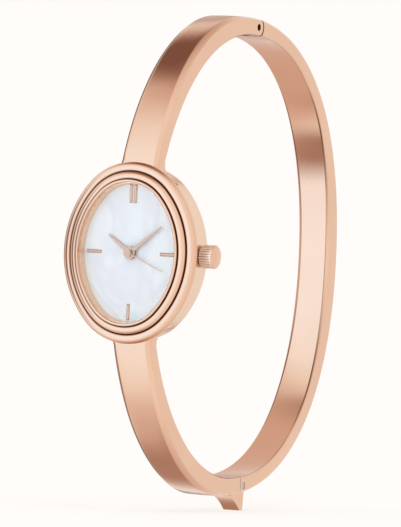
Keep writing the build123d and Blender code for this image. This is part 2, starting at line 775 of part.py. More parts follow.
# Stem, with a square end for the clutch pinion and grooves for the lever and the gasket
stem_end = recess_floor + stem_radius
gasket_start = tube_start + crown_gasket_length
groove_radius = stem_radius - gasket_groove_depth
lever_groove_start = lever_across - lever_groove_width / 2
with BuildPart() as stem:
    square_end = clutch_start + clutch_length + crown_pull
    with BuildSketch(Plane(origin=(stem_inner_end, -crown_level, 0), x_dir=(0, 1, 0), z_dir=(1, 0, 0))):
        Rectangle(stem_square, stem_square)
    extrude(amount=square_end - stem_inner_end)
    extrude(stem_disc(square_end, stem_radius), amount=stem_end - square_end)
    for start, length, radius in (
        (gasket_start, crown_gasket_length, groove_radius),
        (lever_groove_start, lever_groove_width, stem_radius - lever_groove_depth),
    ):
        extrude(stem_disc(start, stem_radius), amount=length, mode=Mode.SUBTRACT)
        extrude(stem_disc(start, radius), amount=length)
stem.part.label = "stem"

with BuildPart() as crown_gasket:
    extrude(stem_disc(gasket_start, tube_bore - glass_fit), amount=crown_gasket_length)
    extrude(stem_disc(gasket_start, groove_radius), amount=crown_gasket_length, mode=Mode.SUBTRACT)
crown_gasket.part.label = "crown_gasket"

# Clutch pinion, turned by the stem's square, which slides through it
with BuildPart() as clutch_pinion:
    extrude(stem_disc(clutch_start, clutch_radius), amount=clutch_length)
    square_side = stem_square + running_fit
    with BuildSketch(Plane(origin=(clutch_start, -crown_level, 0), x_dir=(0, 1, 0), z_dir=(1, 0, 0))):
        Rectangle(square_side, square_side)
        with PolarLocations(clutch_radius, clutch_teeth):
            Circle(clutch_tooth_radius)
    extrude(amount=clutch_length, mode=Mode.SUBTRACT)
clutch_pinion.part.label = "clutch_pinion"

# Setting lever: its nose sits in the stem's groove and its post turns in the main plate
with BuildPart() as setting_lever:
    with BuildSketch(Plane.XZ.offset(crown_level - lever_thickness / 2)):
        with Locations((lever_across, lever_post_up)):
            Circle(lever_width / 2)
            Rectangle(lever_nose_width, lever_arm, align=(Align.CENTER, Align.MAX))
    extrude(amount=lever_thickness)
    lever_post = disc(crown_level, pivot_radius, lever_across, lever_post_up)
    extrude(lever_post, amount=plate_back - crown_level + pivot_sink)
setting_lever.part.label = "setting_lever"

# Caseback with its skirt, and the gasket in its groove
groove_base = case_back - caseback_gasket_thickness
groove_inset = caseback_inset + caseback_gasket_margin
groove_inner_inset = groove_inset + caseback_gasket_width
with BuildPart() as caseback:
    extrude(case_oval(case_back - caseback_thickness, caseback_inset), amount=caseback_thickness)
    fillet(caseback.faces().sort_by(Axis.Y)[-1].edges(), caseback_round)
    extrude(case_oval(groove_base, groove_inset), amount=caseback_gasket_thickness, mode=Mode.SUBTRACT)
    extrude(case_oval(groove_base, groove_inner_inset), amount=caseback_gasket_thickness)
    skirt_inset = bore_inset + skirt_clearance
    extrude(case_oval(case_back, skirt_inset), amount=caseback_skirt_depth)
    skirt_hole = case_oval(case_back, skirt_inset + caseback_skirt_wall)
    extrude(skirt_hole, amount=caseback_skirt_depth, mode=Mode.SUBTRACT)
caseback.part.label = "caseback"

with BuildPart() as caseback_gasket:
    extrude(case_oval(groove_base, groove_inset), amount=caseback_gasket_thickness)
    gasket_hole = case_oval(groove_base, groove_inner_inset)
    extrude(gasket_hole, amount=caseback_gasket_thickness, mode=Mode.SUBTRACT)
caseback_gasket.part.label = "caseback_gasket"


def band_oval(front_depth, rear_depth, half_height, apex_shift, plane=Plane.YZ):
    """Face of a bangle oval in its side view, from four quarter curves"""
    front_span = front_depth + apex_shift
    rear_span = rear_depth - apex_shift
    with BuildSketch(plane) as oval:
        with BuildLine():
            Bezier(
                (-front_depth, 0),
                (-front_depth, front_fullness_share * half_height),
                (apex_shift - front_fullness_share * front_span, half_height),
                (apex_shift, half_height),
            )
            Bezier(
                (apex_shift, half_height),
                (apex_shift + rear_fullness_share * rear_span, half_height),
                (rear_depth, rear_fullness_share * half_height),
                (rear_depth, 0),
            )
            mirror(about=Plane.XZ)
        make_face()
    return oval.sketch


def outer_oval(plane=Plane.YZ):
    """Face inside the bangle's outer surface"""
    return band_oval(outer_front_depth, outer_rear_depth, outer_half_height, outer_apex_shift, plane)


def inner_oval(plane=Plane.YZ):
    """Face inside the bangle's inner surface"""
    return band_oval(inner_front_depth, inner_rear_depth, inner_half_height, inner_apex_shift, plane)


def band_ring(width):
    """Plain ring of the bangle, as wide as given all round"""
    with BuildPart() as ring:
        extrude(outer_oval(), amount=width / 2, both=True)
        extrude(inner_oval(), amount=width / 2, both=True, mode=Mode.SUBTRACT)
    return ring.part


# The whole band, narrower at the rear, before it is cut into arms and bow
width_slope = (band_width_front - band_width_rear) / (outer_front_depth + outer_rear_depth)
with BuildPart() as band_blank:
    add(band_ring(band_width_front))
    with BuildSketch(Plane.XY.offset(-outer_half_height)):
        with BuildLine():
            Polyline(
                (-band_width_front / 2, -outer_front_depth),
                (band_width_front / 2, -outer_front_depth),
                (band_width_rear / 2, outer_rear_depth),
                (-band_width_rear / 2, outer_rear_depth),
                close=True,
            )
        make_face()
    extrude(amount=2 * outer_half_height, mode=Mode.INTERSECT)

hinge_height = (outer_half_height + inner_half_height) / 2 - hinge_drop
hinge_half_width = (band_width_front - width_slope * (outer_front_depth + hinge_back)) / 2
hinge_plane = Plane(origin=(0, hinge_back, hinge_height), x_dir=(0, 1, 0), z_dir=(1, 0, 0))
tongue_half_width = hinge_tongue_share * hinge_half_width


def hinge_disc(radius):
    """Round face about the hinge pin, on the middle plane of the band"""
    with BuildSketch(hinge_plane) as face:
        Circle(radius)
    return face.sketch


def hinge_eye():
    """Round end of a hinge leaf, as high as the band is thick there"""
    with BuildSketch(Plane.YZ) as eye:
        add(outer_oval(Plane.XY))
        add(inner_oval(Plane.XY), mode=Mode.SUBTRACT)
        with Locations((hinge_back, hinge_height)):
            Circle(hinge_radius, mode=Mode.INTERSECT)
    return eye.sketch


def side_edges(band, outer):
    """Long edges of a band on its two flat sides: the outer ones or the inner ones"""
    sides = (band.faces().sort_by(Axis.X)[0], band.faces().sort_by(Axis.X)[-1])
    return ShapeList(
        edge
        for side in sides
        for edge in (side.outer_wire().edges() if outer else side.inner_wires()[0].edges())
    )


# Front half of the band: bevelled outer edges
with BuildPart() as arm_blank:
    add(band_blank.part)
    chamfer(side_edges(arm_blank, True), arm_bevel)
    fillet(side_edges(arm_blank, False), band_inner_round)


def shoulder(side):
    """Flared root of an arm, hugging the case at 12 o'clock (side 1) or 6 o'clock (-1)"""
    half_width = (band_width_front - arm_bevel * width_slope) / 2
    with BuildPart() as root:
        with BuildSketch(Plane.XZ.offset(inner_front_depth / 2)):
            with BuildLine():
                Polyline(
                    (shoulder_half_width, side * shoulder_end),
                    (-shoulder_half_width, side * shoulder_end),
                )
                TangentArc(
                    (-half_width, side * shoulder_start),
                    (-shoulder_half_width, side * shoulder_end),
                    tangent=(0, -side),
                )
                Line((-half_width, side * shoulder_start), (half_width, side * shoulder_start))
                TangentArc(
                    (half_width, side * shoulder_start),
                    (shoulder_half_width, side * shoulder_end),
                    tangent=(0, -side),
                )
            make_face()
        extrude(amount=outer_front_depth)
        lowered = band_oval(
            outer_front_depth - arm_bevel,
            outer_rear_depth - arm_bevel,
            outer_half_height - arm_bevel,
            outer_apex_shift,
        )
        extrude(lowered, amount=case_half_width, both=True, mode=Mode.INTERSECT)
        extrude(inner_oval(), amount=case_half_width, both=True, mode=Mode.SUBTRACT)
    return root.part


def arm_region(side, back):
    """Side view of the stretch of band that an arm keeps, ending at a distance back"""
    with BuildSketch(Plane.YZ) as region:
        with Locations((back, side * arm_root_height)):
            upright = Align.MIN if side > 0 else Align.MAX
            Rectangle(outer_front_depth + back + overrun, outer_half_height, align=(Align.MAX, upright))
    return region.sketch


# Room that the case and the bezel take out of both arms
with BuildPart() as case_room:
    extrude(case_oval(0, case_side_inset - seam), amount=outer_front_depth + overrun)
    extrude(case_oval(bezel_back - seam, -seam), amount=outer_front_depth + overrun - bezel_back)

# Upper arm, with a fork for the hinge
tongue_room = tongue_half_width + hinge_gap
with BuildPart() as upper_arm:
    add(arm_blank.part)
    extrude(arm_region(1, hinge_back), amount=band_width_front, both=True, mode=Mode.INTERSECT)
    extrude(hinge_eye(), amount=hinge_half_width, both=True)
    add(shoulder(1))
    add(case_room.part, mode=Mode.SUBTRACT)
    extrude(hinge_disc(hinge_radius + hinge_gap), amount=tongue_room, both=True, mode=Mode.SUBTRACT)
    extrude(hinge_disc(hinge_pin_radius), amount=band_width_front, both=True, mode=Mode.SUBTRACT)
upper_arm.part.label = "upper_arm"

# Middle line of the band at the clasp, as far down as the hinge is up, and the plane that
# the clasp's pieces start from
clasp_height = hinge_height
clasp_plane = Plane(origin=(0, clasp_back, -clasp_height), x_dir=(1, 0, 0), z_dir=(0, -1, 0))
socket_inner_width = tongue_width + 2 * tongue_clearance
socket_inner_height = tongue_thickness + 2 * tongue_clearance
socket_depth = tongue_length + tongue_clearance
socket_width = socket_inner_width + 2 * socket_wall
socket_height = socket_inner_height + 2 * socket_wall

with BuildPart() as lower_arm:
    add(arm_blank.part)
    extrude(arm_region(-1, clasp_back), amount=band_width_front, both=True, mode=Mode.INTERSECT)
    add(shoulder(-1))
    add(case_room.part, mode=Mode.SUBTRACT)
    with BuildSketch(clasp_plane):
        Rectangle(socket_width, socket_height)
    extrude(amount=socket_depth + socket_wall, mode=Mode.SUBTRACT)
lower_arm.part.label = "lower_arm"

with BuildPart() as clasp_socket:
    with BuildSketch(clasp_plane):
        Rectangle(socket_width - seam, socket_height - seam)
    extrude(amount=socket_depth + socket_wall - seam)
    with BuildSketch(clasp_plane):
        Rectangle(socket_inner_width, socket_inner_height)
    extrude(amount=socket_depth, mode=Mode.SUBTRACT)
clasp_socket.part.label = "clasp_socket"

# Places of the rear bow's end and of the cross pin in it
clasp_face = clasp_back + clasp_gap
tongue_pin_back = clasp_face + tongue_pin_inset
pin_half_width = (band_width_front - width_slope * (outer_front_depth + tongue_pin_back)) / 2

# Rear bow: rounded outer edges and, on the inner ones, a bevel that fades out both ways
bevel_reach = rear_bevel_width + (band_width_front - band_width_rear)
with BuildPart() as bow_blank:
    add(band_blank.part)
    fillet(side_edges(bow_blank, True), bow_outer_round)
    for side in (-1, 1):
        ovals = []
        for shift in (bevel_reach, -rear_bevel_width):
            grow = rear_bevel_width + shift
            face = band_oval(
                inner_front_depth - rear_bevel_drop,
                inner_rear_depth + grow,
                inner_half_height - rear_bevel_drop + grow - rear_bevel_width,
                inner_apex_shift,
                Plane.YZ.offset(side * (band_width_rear / 2 + shift)),
            )
            ovals.append(face)
        loft(ovals, ruled=True, mode=Mode.SUBTRACT)

relief = radians(90 - hinge_opening - hinge_spare_angle)
with BuildPart() as rear_bow:
    add(bow_blank.part)
    with BuildSketch(Plane.YZ):
        with Locations((hinge_back, 0)):
            Rectangle(outer_rear_depth, outer_half_height + overrun, align=Align.MIN)
        with Locations((clasp_face, 0)):
            Rectangle(outer_rear_depth, outer_half_height + overrun, align=(Align.MIN, Align.MAX))
    extrude(amount=band_width_front, both=True, mode=Mode.INTERSECT)
    extrude(hinge_disc(hinge_radius + hinge_gap), amount=band_width_front, both=True, mode=Mode.SUBTRACT)
    with BuildSketch(hinge_plane):
        with BuildLine():
            relief_reach = hinge_radius * 2
            Polyline(
                (0, 0),
                (relief_reach * cos(relief), relief_reach * sin(relief)),
                (0, relief_reach * sin(relief)),
                close=True,
            )
        make_face()
    extrude(amount=band_width_front, both=True, mode=Mode.SUBTRACT)
    extrude(hinge_eye(), amount=tongue_half_width, both=True)
    with BuildSketch(hinge_plane):
        Rectangle(hinge_radius * 3 / 2, hinge_neck, align=(Align.MIN, Align.CENTER))
    extrude(amount=tongue_half_width, both=True)
    hinge_bore = hinge_disc(hinge_pin_radius + running_fit)
    extrude(hinge_bore, amount=band_width_front, both=True, mode=Mode.SUBTRACT)
    with BuildSketch(clasp_plane.offset(-clasp_gap - tongue_seat_length)):
        Rectangle(tongue_width, tongue_thickness)
    extrude(amount=tongue_seat_length + overrun, mode=Mode.SUBTRACT)
    pin_plane = Plane(origin=(0, tongue_pin_back, -clasp_height), x_dir=(0, 1, 0), z_dir=(1, 0, 0))
    with BuildSketch(pin_plane):
        Circle(tongue_pin_radius)
    extrude(amount=band_width_front, both=True, mode=Mode.SUBTRACT)
    for side in (-1, 1):
        with BuildSketch(pin_plane.offset(side * (pin_half_width - tongue_pin_head_length))):
            Circle(tongue_pin_head_radius)
        extrude(amount=side * band_width_front, mode=Mode.SUBTRACT)
rear_bow.part.label = "rear_bow"

# Hinge pin, sunk in the fork's holes
with BuildPart() as hinge_pin:
    pin_reach = hinge_half_width - hinge_pin_recess
    extrude(hinge_disc(hinge_pin_radius - glass_fit / 2), amount=pin_reach, both=True)
hinge_pin.part.label = "hinge_pin"

# Clasp: sprung tongue with its bead, the cross pin that holds it and the thumb lip
with BuildPart() as clasp_tongue:
    with BuildSketch(clasp_plane.offset(-clasp_gap - tongue_seat_length)):
        Rectangle(tongue_width, tongue_thickness)
    extrude(amount=clasp_gap + tongue_seat_length + tongue_length)
    tip_edges = clasp_tongue.faces().sort_by(Axis.Y)[0].edges()
    chamfer(tip_edges, tongue_clearance)
    with BuildSketch(pin_plane):
        Circle(tongue_pin_radius)
    extrude(amount=band_width_front, both=True, mode=Mode.SUBTRACT)
    bead_centre = tongue_thickness / 2 + bead_rise - bead_radius
    with Locations((0, clasp_back - tongue_length / 2, -clasp_height - bead_centre)):
        Sphere(bead_radius)
clasp_tongue.part.label = "clasp_tongue"

with BuildPart() as clasp_pin:
    with BuildSketch(pin_plane):
        Circle(tongue_pin_radius - glass_fit / 2)
    extrude(amount=pin_half_width - tongue_pin_head_length, both=True)
    for side in (-1, 1):
        with BuildSketch(pin_plane.offset(side * (pin_half_width - tongue_pin_head_length))):
            Circle(tongue_pin_head_radius - glass_fit / 2)
        extrude(amount=side * (tongue_pin_head_length - tongue_pin_recess))
clasp_pin.part.label = "clasp_pin"

lip_tip_height = outer_half_height + lip_depth
with BuildPart() as thumb_lip:
    with BuildSketch(Plane.YZ):
        with BuildLine():
            front_top = (clasp_back - lip_front_reach, -inner_half_height)
            front_base = (clasp_back - lip_front_reach, -outer_half_height - lip_front_thickness)
            front_tip = (clasp_back + lip_tip_back - lip_tip_thickness, -lip_tip_height)
            back_tip = (clasp_back + lip_tip_back, -lip_tip_height)
            back_top = (clasp_back + lip_back_start, -inner_half_height)
            Line(front_top, front_base)
            SagittaArc(front_base, front_tip, -lip_hollow)
            Polyline(front_tip, back_tip, back_top, front_top)
        make_face()
    extrude(amount=lip_width / 2, both=True)
    extrude(outer_oval(), amount=lip_width, both=True, mode=Mode.SUBTRACT)
    arm_room = band_oval(
        outer_front_depth + clasp_gap,
        outer_rear_depth + clasp_gap,
        outer_half_height + clasp_gap,
        outer_apex_shift,
        Plane.XY,
    )
    with BuildSketch(Plane.YZ):
        add(arm_room)
        with Locations((clasp_face, 0)):
            Rectangle(
                outer_front_depth + outer_rear_depth,
                2 * outer_half_height + overrun,
                align=(Align.MAX, Align.CENTER),
                mode=Mode.INTERSECT,
            )
    extrude(amount=lip_width, both=True, mode=Mode.SUBTRACT)
thumb_lip.part.label = "thumb_lip"

# One file for each piece, named after it
os.makedirs("parts", exist_ok=True)
pieces = (
    mid_case, bezel, crystal, crystal_gasket, dial_ring, dial, hour_markers,
    hour_hand, hour_wheel, minute_hand, cannon_pinion, minute_wheel,
    centre_wheel, third_wheel, second_wheel, second_hand, fifth_wheel, rotor,
    stator, coil_core, coil, main_plate, train_bridge, bridge_screws,
    circuit_board, chip, quartz_can, battery, battery_strap, movement_holder,
    crown_tube, crown, stem, crown_gasket, clutch_pinion, setting_lever,
    caseback, caseback_gasket, upper_arm, lower_arm, rear_bow, hinge_pin,
    clasp_socket, clasp_tongue, clasp_pin, thumb_lip,
)
for piece in pieces:
    export_step(piece.part, f"parts/{piece.part.label}.step")
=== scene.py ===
"""Small oval bangle watch: the finish of every piece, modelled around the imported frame."""

import json
from math import acos, asin, atan2, cos, degrees, hypot, pi, radians, sin, sqrt

import bmesh
import bpy
from bpy.props import FloatProperty, FloatVectorProperty, IntProperty, PointerProperty
from mathutils import Matrix, Vector

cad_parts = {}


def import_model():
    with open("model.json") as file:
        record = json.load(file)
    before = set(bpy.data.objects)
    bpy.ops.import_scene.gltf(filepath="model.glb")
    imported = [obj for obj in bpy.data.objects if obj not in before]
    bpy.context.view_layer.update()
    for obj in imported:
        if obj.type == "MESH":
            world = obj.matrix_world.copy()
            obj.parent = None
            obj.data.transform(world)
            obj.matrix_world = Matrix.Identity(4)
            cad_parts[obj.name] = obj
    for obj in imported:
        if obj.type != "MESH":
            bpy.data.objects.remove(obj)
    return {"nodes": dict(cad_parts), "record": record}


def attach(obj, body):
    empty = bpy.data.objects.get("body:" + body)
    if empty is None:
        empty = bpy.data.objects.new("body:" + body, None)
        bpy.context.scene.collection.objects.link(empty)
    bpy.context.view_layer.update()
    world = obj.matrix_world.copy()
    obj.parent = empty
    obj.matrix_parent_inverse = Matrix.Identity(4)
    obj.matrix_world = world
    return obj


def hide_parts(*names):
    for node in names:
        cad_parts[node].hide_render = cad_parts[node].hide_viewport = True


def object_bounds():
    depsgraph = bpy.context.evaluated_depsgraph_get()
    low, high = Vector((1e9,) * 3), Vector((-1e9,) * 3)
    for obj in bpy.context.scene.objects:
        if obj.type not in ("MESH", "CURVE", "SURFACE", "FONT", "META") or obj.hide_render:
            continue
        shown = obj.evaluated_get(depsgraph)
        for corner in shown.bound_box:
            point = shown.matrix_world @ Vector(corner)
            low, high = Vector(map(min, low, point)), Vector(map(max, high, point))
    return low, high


bl_info = {
    "name": "Bangle Watch",
    "version": (1, 0, 0),
    "blender": (4, 5, 0),
    "location": "3D View > Sidebar > Watch",
    "description": "Models a small oval watch on a hinged bangle around its packed frame",
    "category": "Object",
}

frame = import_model()
frame_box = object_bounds()

MM = 0.001
FACING = Vector((0, -1, 0))
IMAGE_SIZE = (401, 527)
SENSOR_WIDTH = 36.0
MERGE_DISTANCE = 1e-6
SHORTEST_SPAN = 1e-7
# Halvings that find a point of an oval
HALVINGS = 40
# Largest share of a side that a corner's round takes up
ROUND_SHARE = 0.4
# Drop of the arms' bevel as a share of its width
BEVEL_DROP = 0.75

# Vertex attribute that says how much painted shade a point of a groove or crease gets, from 0 to 1
GROOVE_SHADE = "groove"

# Sockets of a Mix node that mixes colours
MIX_FACTOR, MIX_FIRST, MIX_SECOND = 0, 6, 7
MIX_COLOUR = 2

# Patterns of the materials, in features per metre, and the relief of the metal's haze
CLOUD_SCALE = 90.0
HAZE_SCALE = 900.0
HAZE_STRENGTH = 0.02
HAZE_DEPTH = 0.00002
GRAIN_SCALE = 600.0

# Soft boxes: name, place, width, height and radiance, in metres
SOFT_BOXES = (
    ("front_left_box", (-0.42, -0.80, 0.10), 0.5, 0.8, 1.2),
    ("top_box", (0.35, -0.35, 0.85), 0.35, 0.35, 2.0),
)

# Cards that only polished metal sees, in millimetres: name, place, what they face, width,
# height and tone. They fade between two distances from their middle, as shares of their size.
MIRROR_CARDS = (
    ("card_above", (-28, -6, 77), (0, -13, 27), 64, 74, (0.25, 0.155, 0.13)),
    ("card_inside", (-27.6, -15, -25.5), (0, 26, 15), 29, 29, (0.5, 0.37, 0.34)),
    ("card_behind", (-13.8, 25, 0), (0, 25, 0), 44, 110, (0.8, 0.7, 0.66)),
    ("card_tip", (-14, 18, 42), (0, -4, 32), 26, 26, (0.66, 0.56, 0.5)),
    ("card_below", (-28, 10, -75), (0, -13, -27), 70, 84, (0.52, 0.39, 0.35)),
    ("card_left", (-20, -36.6, 0), (-8.5, -27, 0), 20, 44, (0.36, 0.25, 0.22)),
)
CARD_FADE = (0.1, 0.5)

# The studio that polished metal mirrors. Its tints go by how far a direction points to the
# bright side: 1 for straight at it, -1 for straight away from it.
STUDIO_TINTS = (
    (-1.0, (1.02, 1.08, 1.1)),
    (-0.57, (1.0, 1.04, 1.04)),
    (0.0, (1.1, 1.2, 1.25)),
    (0.5, (1.1, 1.2, 1.25)),
    (0.69, (1.15, 1.4, 1.55)),
    (1.0, (1.22, 1.62, 2.05)),
)
# Its levels go by how steep a direction is, up or a little less down. The lean makes it
# darker sooner on the left at the back, and later on the right at the front.
STUDIO_LEVELS = (
    (0.45, (1.0, 1.0, 1.0)),
    (0.6, (0.95, 0.92, 0.91)),
    (0.7, (0.85, 0.78, 0.75)),
    (0.79, (0.72, 0.6, 0.57)),
    (0.825, (0.58, 0.44, 0.4)),
    (0.86, (0.4, 0.25, 0.22)),
    (0.92, (0.36, 0.22, 0.19)),
)
STUDIO_BELOW = 0.93
STUDIO_LEAN = (-0.18, 0.133, 0.0)
STUDIO_LEAN_START = -0.115
# Its dark flag stands behind on the left, and narrows above and below
FLAG_DIRECTION = (-0.755, 0.656, 0.0)
FLAG_NARROWING = -0.35
FLAG_TONES = ((0.74, (1.0, 1.0, 1.0)), (0.86, (0.3, 0.2, 0.17)))


def length(name, text, millimetres):
    """Property for a length, given in millimetres"""
    default = millimetres * MM
    return FloatProperty(name=name, description=text, default=default, unit="LENGTH", precision=5)


def angle(name, text, turn):
    """Property for an angle, given in degrees"""
    return FloatProperty(name=name, description=text, default=radians(turn), subtype="ANGLE")


def count(name, text, value):
    """Property for a number of steps or of like features"""
    return IntProperty(name=name, description=text, default=value)


def share(name, text, value):
    """Property for a plain share or strength"""
    return FloatProperty(name=name, description=text, default=value, precision=4)


def colour(name, text, value):
    """Property for a linear colour"""
    return FloatVectorProperty(
        name=name, description=text, default=value, subtype="COLOR", min=0.0, max=4.0
    )


class WatchBandSizes(bpy.types.PropertyGroup):
    """Sizes of the bangle in its side view and its front view"""

    inner_front: length("Inner front", "Wrist opening's reach to the front", 25.3)
    inner_rear: length("Inner rear", "Wrist opening's reach to the rear", 27.4)
    inner_height: length("Inner half height", "Half height of the wrist opening", 30.15)
    inner_apex: length("Inner apex", "How far back the opening is highest", 1.0)
    outer_apex: length("Outer apex", "How far back the outer oval is highest", -1.3)
    front_thickness: length("Front thickness", "Thickness of the arms at the front", 2.15)
    rear_thickness: length("Rear thickness", "Thickness of the bow at the rear", 2.8)
    top_thickness: length("Top thickness", "Height between the two ovals at the top", 2.45)
    front_fullness: share("Front fullness", "Fullness of the front quarters", 0.55)
    rear_fullness: share("Rear fullness", "Fullness of the rear quarters", 0.62)
    front_width: length("Front width", "Width of the band at the front", 5.5)
    rear_width: length("Rear width", "Width of the band at the rear", 4.8)
    edge_round: length("Edge round", "Small round on the band's corners", 0.07)
    face_crown: length("Face crown", "How far the arms' outer face drops at its edges", 0.05)
    root_bevel: length("Root bevel", "Width of the arms' bevel beside the case", 0.55)
    middle_bevel: length("Middle bevel", "Width of the arms' bevel half way up", 0.75)
    end_bevel: length("End bevel", "Width of the arms' bevel at the hinge", 0.2)
    inner_round: length("Inner round", "Bevel of the band's inner edges", 0.2)
    bow_round: length("Bow round", "Bevel of the bow's outer edges", 0.4)
    lens_width: length("Lens width", "Greatest width of the bow's inner bevel", 0.45)
    lens_depth: length("Lens depth", "Greatest depth of the bow's inner bevel", 0.33)
    lens_height: length("Lens half height", "Height at which the inner bevel has faded out", 24.0)
    arm_steps: count("Arm steps", "Sections along each arm", 96)
    bow_steps: count("Bow steps", "Sections along the bow", 160)


class WatchJointSizes(bpy.types.PropertyGroup):
    """Sizes of the shoulders, the hinge and the clasp"""

    shoulder_start: length("Shoulder start", "Height at which the arms begin to flare", 12.7)
    shoulder_width: length("Shoulder half width", "Half width of the flare on the case", 5.5)
    shoulder_steps: count("Shoulder steps", "Sections along the flare", 20)
    seam: length("Seam", "Gap between an arm and the case", 0.03)
    hinge_back: length("Hinge back", "How far back the hinge pin is", 2.6)
    hinge_height: length("Hinge height", "Height of the hinge pin", 31.255)
    hinge_radius: length("Eye radius", "Radius of the upper arm's round end", 1.25)
    knuckle_radius: length("Knuckle radius", "Radius of the bow's knuckle", 1.12)
    hinge_gap: length("Hinge gap", "Gap round the knuckles", 0.06)
    cup_gap: length("Cup gap", "Gap between the arm's round end and the bow's cup", 0.26)
    tongue_width: length("Tongue half width", "Half width of the hinge's middle knuckle", 0.92)
    pin_radius: length("Pin radius", "Radius of the hinge pin's hole", 0.48)
    pin_recess: length("Pin recess", "Depth of the hinge pin's ends in their holes", 0.45)
    opening: angle("Opening", "Angle that the bow is cut back by", 42)
    clasp_back: length("Clasp back", "How far back the lower arm ends", 3.55)
    clasp_gap: length("Clasp gap", "Gap between the lower arm and the bow", 0.08)
    lip_half_width: length("Lip half width", "Half width of the thumb lip", 1.25)
    lip_depth: length("Lip depth", "How far the lip stands below the band", 2.15)
    lip_front: length("Lip front", "How far the lip reaches in front of the lower arm's end", 0.75)
    lip_edge: length("Lip edge", "How far the lip's front edge is below the band", 0.12)
    lip_back: length("Lip back", "Rear end of the lip's root behind the lower arm's end", 3.75)
    lip_tip_back: length("Lip tip", "Rear corner of the lip's tip behind the lower arm's end", 3.5)
    lip_tip: length("Lip tip thickness", "Thickness of the lip at its tip", 0.85)
    lip_hollow: length("Lip hollow", "Depth of the hollow in the lip's front", 0.25)
    lip_round: length("Lip round", "Round on the lip's edges", 0.07)
    clasp_pin_inset: length("Clasp pin inset", "Distance of the clasp's pin in the bow", 0.87)
    clasp_head_radius: length("Clasp head radius", "Radius of the clasp pin's heads", 0.5)
    clasp_head_depth: length("Clasp head depth", "Depth of the holes for those heads", 0.35)


class WatchCaseSizes(bpy.types.PropertyGroup):
    """Sizes of the case and its bezel"""

    half_width: length("Half width", "Half width of the bezel", 9.95)
    half_height: length("Half height", "Half height of the bezel", 12.1)
    end_share: share("End share", "Radius of the oval's ends as a share of its half width", 0.859)
    dial_level: length("Dial level", "How far the dial is in front of the opening's middle", 26.55)
    seat_drop: length("Seat drop", "How far the bezel's seat is behind the dial", 0.5)
    depth: length("Case depth", "Depth of the case behind the bezel", 3.85)
    side_inset: length("Side inset", "Step from the bezel in to the case's side", 0.6)
    wall: length("Case wall", "Thickness of the case's wall", 0.97)
    back_round: length("Back round", "Round on the case's rear edge", 0.45)
    outer_roll: length("Outer roll", "Radius of the outer roll", 0.8)
    outer_rise: length("Outer roll rise", "Height of the outer roll's centre", 0.1)
    inner_roll: length("Inner roll", "Radius of the inner roll", 0.7)
    inner_inset: length("Inner roll inset", "Inset of the inner roll's centre", 1.95)
    inner_rise: length("Inner roll rise", "Height of the inner roll's centre", 0.62)
    lip_inset: length("Lip inset", "Inset of the lip's centre", 2.53)
    lip_radius: length("Lip radius", "Radius of the lip", 0.2)
    lip_rise: length("Lip rise", "Height of the lip's centre", 1.4)
    crystal_drop: length("Crystal drop", "How far the crystal is below the lip", 0.1)
    crystal_thickness: length("Crystal thickness", "Thickness of the crystal", 0.5)
    crystal_gap: length("Crystal gap", "Gap round the crystal", 0.03)
    opening_inset: length("Opening inset", "Inset of the sloped ring at the dial", 3.01)
    ring_slope: length("Ring slope", "How far the ring leans outwards", 0.17)
    ring_inset: length("Ring inset", "Inset of the ring's outer side", 2.53)
    dial_thickness: length("Dial thickness", "Thickness of the dial", 0.4)
    hole_radius: length("Hole radius", "Radius of the dial's middle hole", 0.62)
    back_inset: length("Back inset", "Inset of the caseback", 1.1)
    back_thickness: length("Back thickness", "Thickness of the caseback", 0.85)
    back_edge: length("Back edge", "Round on the caseback's edge", 0.35)
    # Painted shade: distance from a groove's point within which the bezel is painted fully dark
    groove_reach: length("Groove reach", "Distance to which a groove is fully dark", 0.14)
    arc_steps: count("Arc steps", "Steps along each arc of the oval", 48)
    round_steps: count("Round steps", "Steps round each roll", 18)


class WatchCrownSizes(bpy.types.PropertyGroup):
    """Sizes of the crown"""

    level: length("Level", "How far the stem is in front of the opening's middle", 23.85)
    start: length("Start", "Where the crown starts", 9.45)
    radius: length("Radius", "Radius over the flutes", 1.57)
    length: length("Length", "Length of the crown's rim", 1.95)
    dome: length("Dome", "Height of the domed cap", 0.2)
    chamfer: length("Chamfer", "Chamfer at both ends", 0.17)
    flute_depth: length("Flute depth", "Depth of the flutes", 0.07)
    flutes: count("Flutes", "Number of flutes", 28)
    tube_radius: length("Tube radius", "Radius of the tube in the case", 0.8)


class WatchColours(bpy.types.PropertyGroup):
    """Colours of the finishes and of the painted shade"""

    gold: colour("Rose gold", "Polished rose gold", (0.79, 0.47, 0.32))
    gold_deep: colour("Deep rose gold", "Rose gold where the polish is deeper", (0.76, 0.445, 0.3))
    ring: colour("Ring", "Satin ring at the dial", (0.96, 0.69, 0.49))
    case_side: colour("Case side", "Satin side of the case", (0.86, 0.58, 0.42))
    hands: colour("Hands", "Hands and hour markers", (0.6, 0.34, 0.23))
    ridges: colour("Ridges", "Ridges of the crown", (1.0, 0.84, 0.7))
    # Painted shade: the dark colour that grooves, flutes and creases take where shade falls in them
    groove: colour("Groove", "Rose gold deep in the grooves", (0.18, 0.07, 0.035))
    # Painted shade in the hinge's pin holes and round its cup
    joint: colour("Joint", "Rose gold deep in the hinge", (0.3, 0.12, 0.06))
    pearl_light: colour("Light pearl", "Lightest tone of the dial", (0.83, 0.88, 0.93))
    pearl_blue: colour("Blue pearl", "Blue tone of the dial", (0.6, 0.78, 0.91))
    pearl_rose: colour("Rose pearl", "Warm tone of the dial", (0.76, 0.79, 0.87))
    steel: colour("Steel", "Plain steel", (0.55, 0.54, 0.53))
    brass: colour("Brass", "Brass of the movement", (0.62, 0.45, 0.20))
    copper: colour("Copper", "Wound copper", (0.60, 0.24, 0.10))
    board: colour("Board", "Circuit board", (0.02, 0.09, 0.05))
    nylon: colour("Nylon", "Movement holder", (0.75, 0.74, 0.70))
    seal: colour("Seal", "Rubber of the gaskets", (0.02, 0.02, 0.02))
    background: colour("Background", "Floor and backdrop", (1.0, 0.974, 0.947))


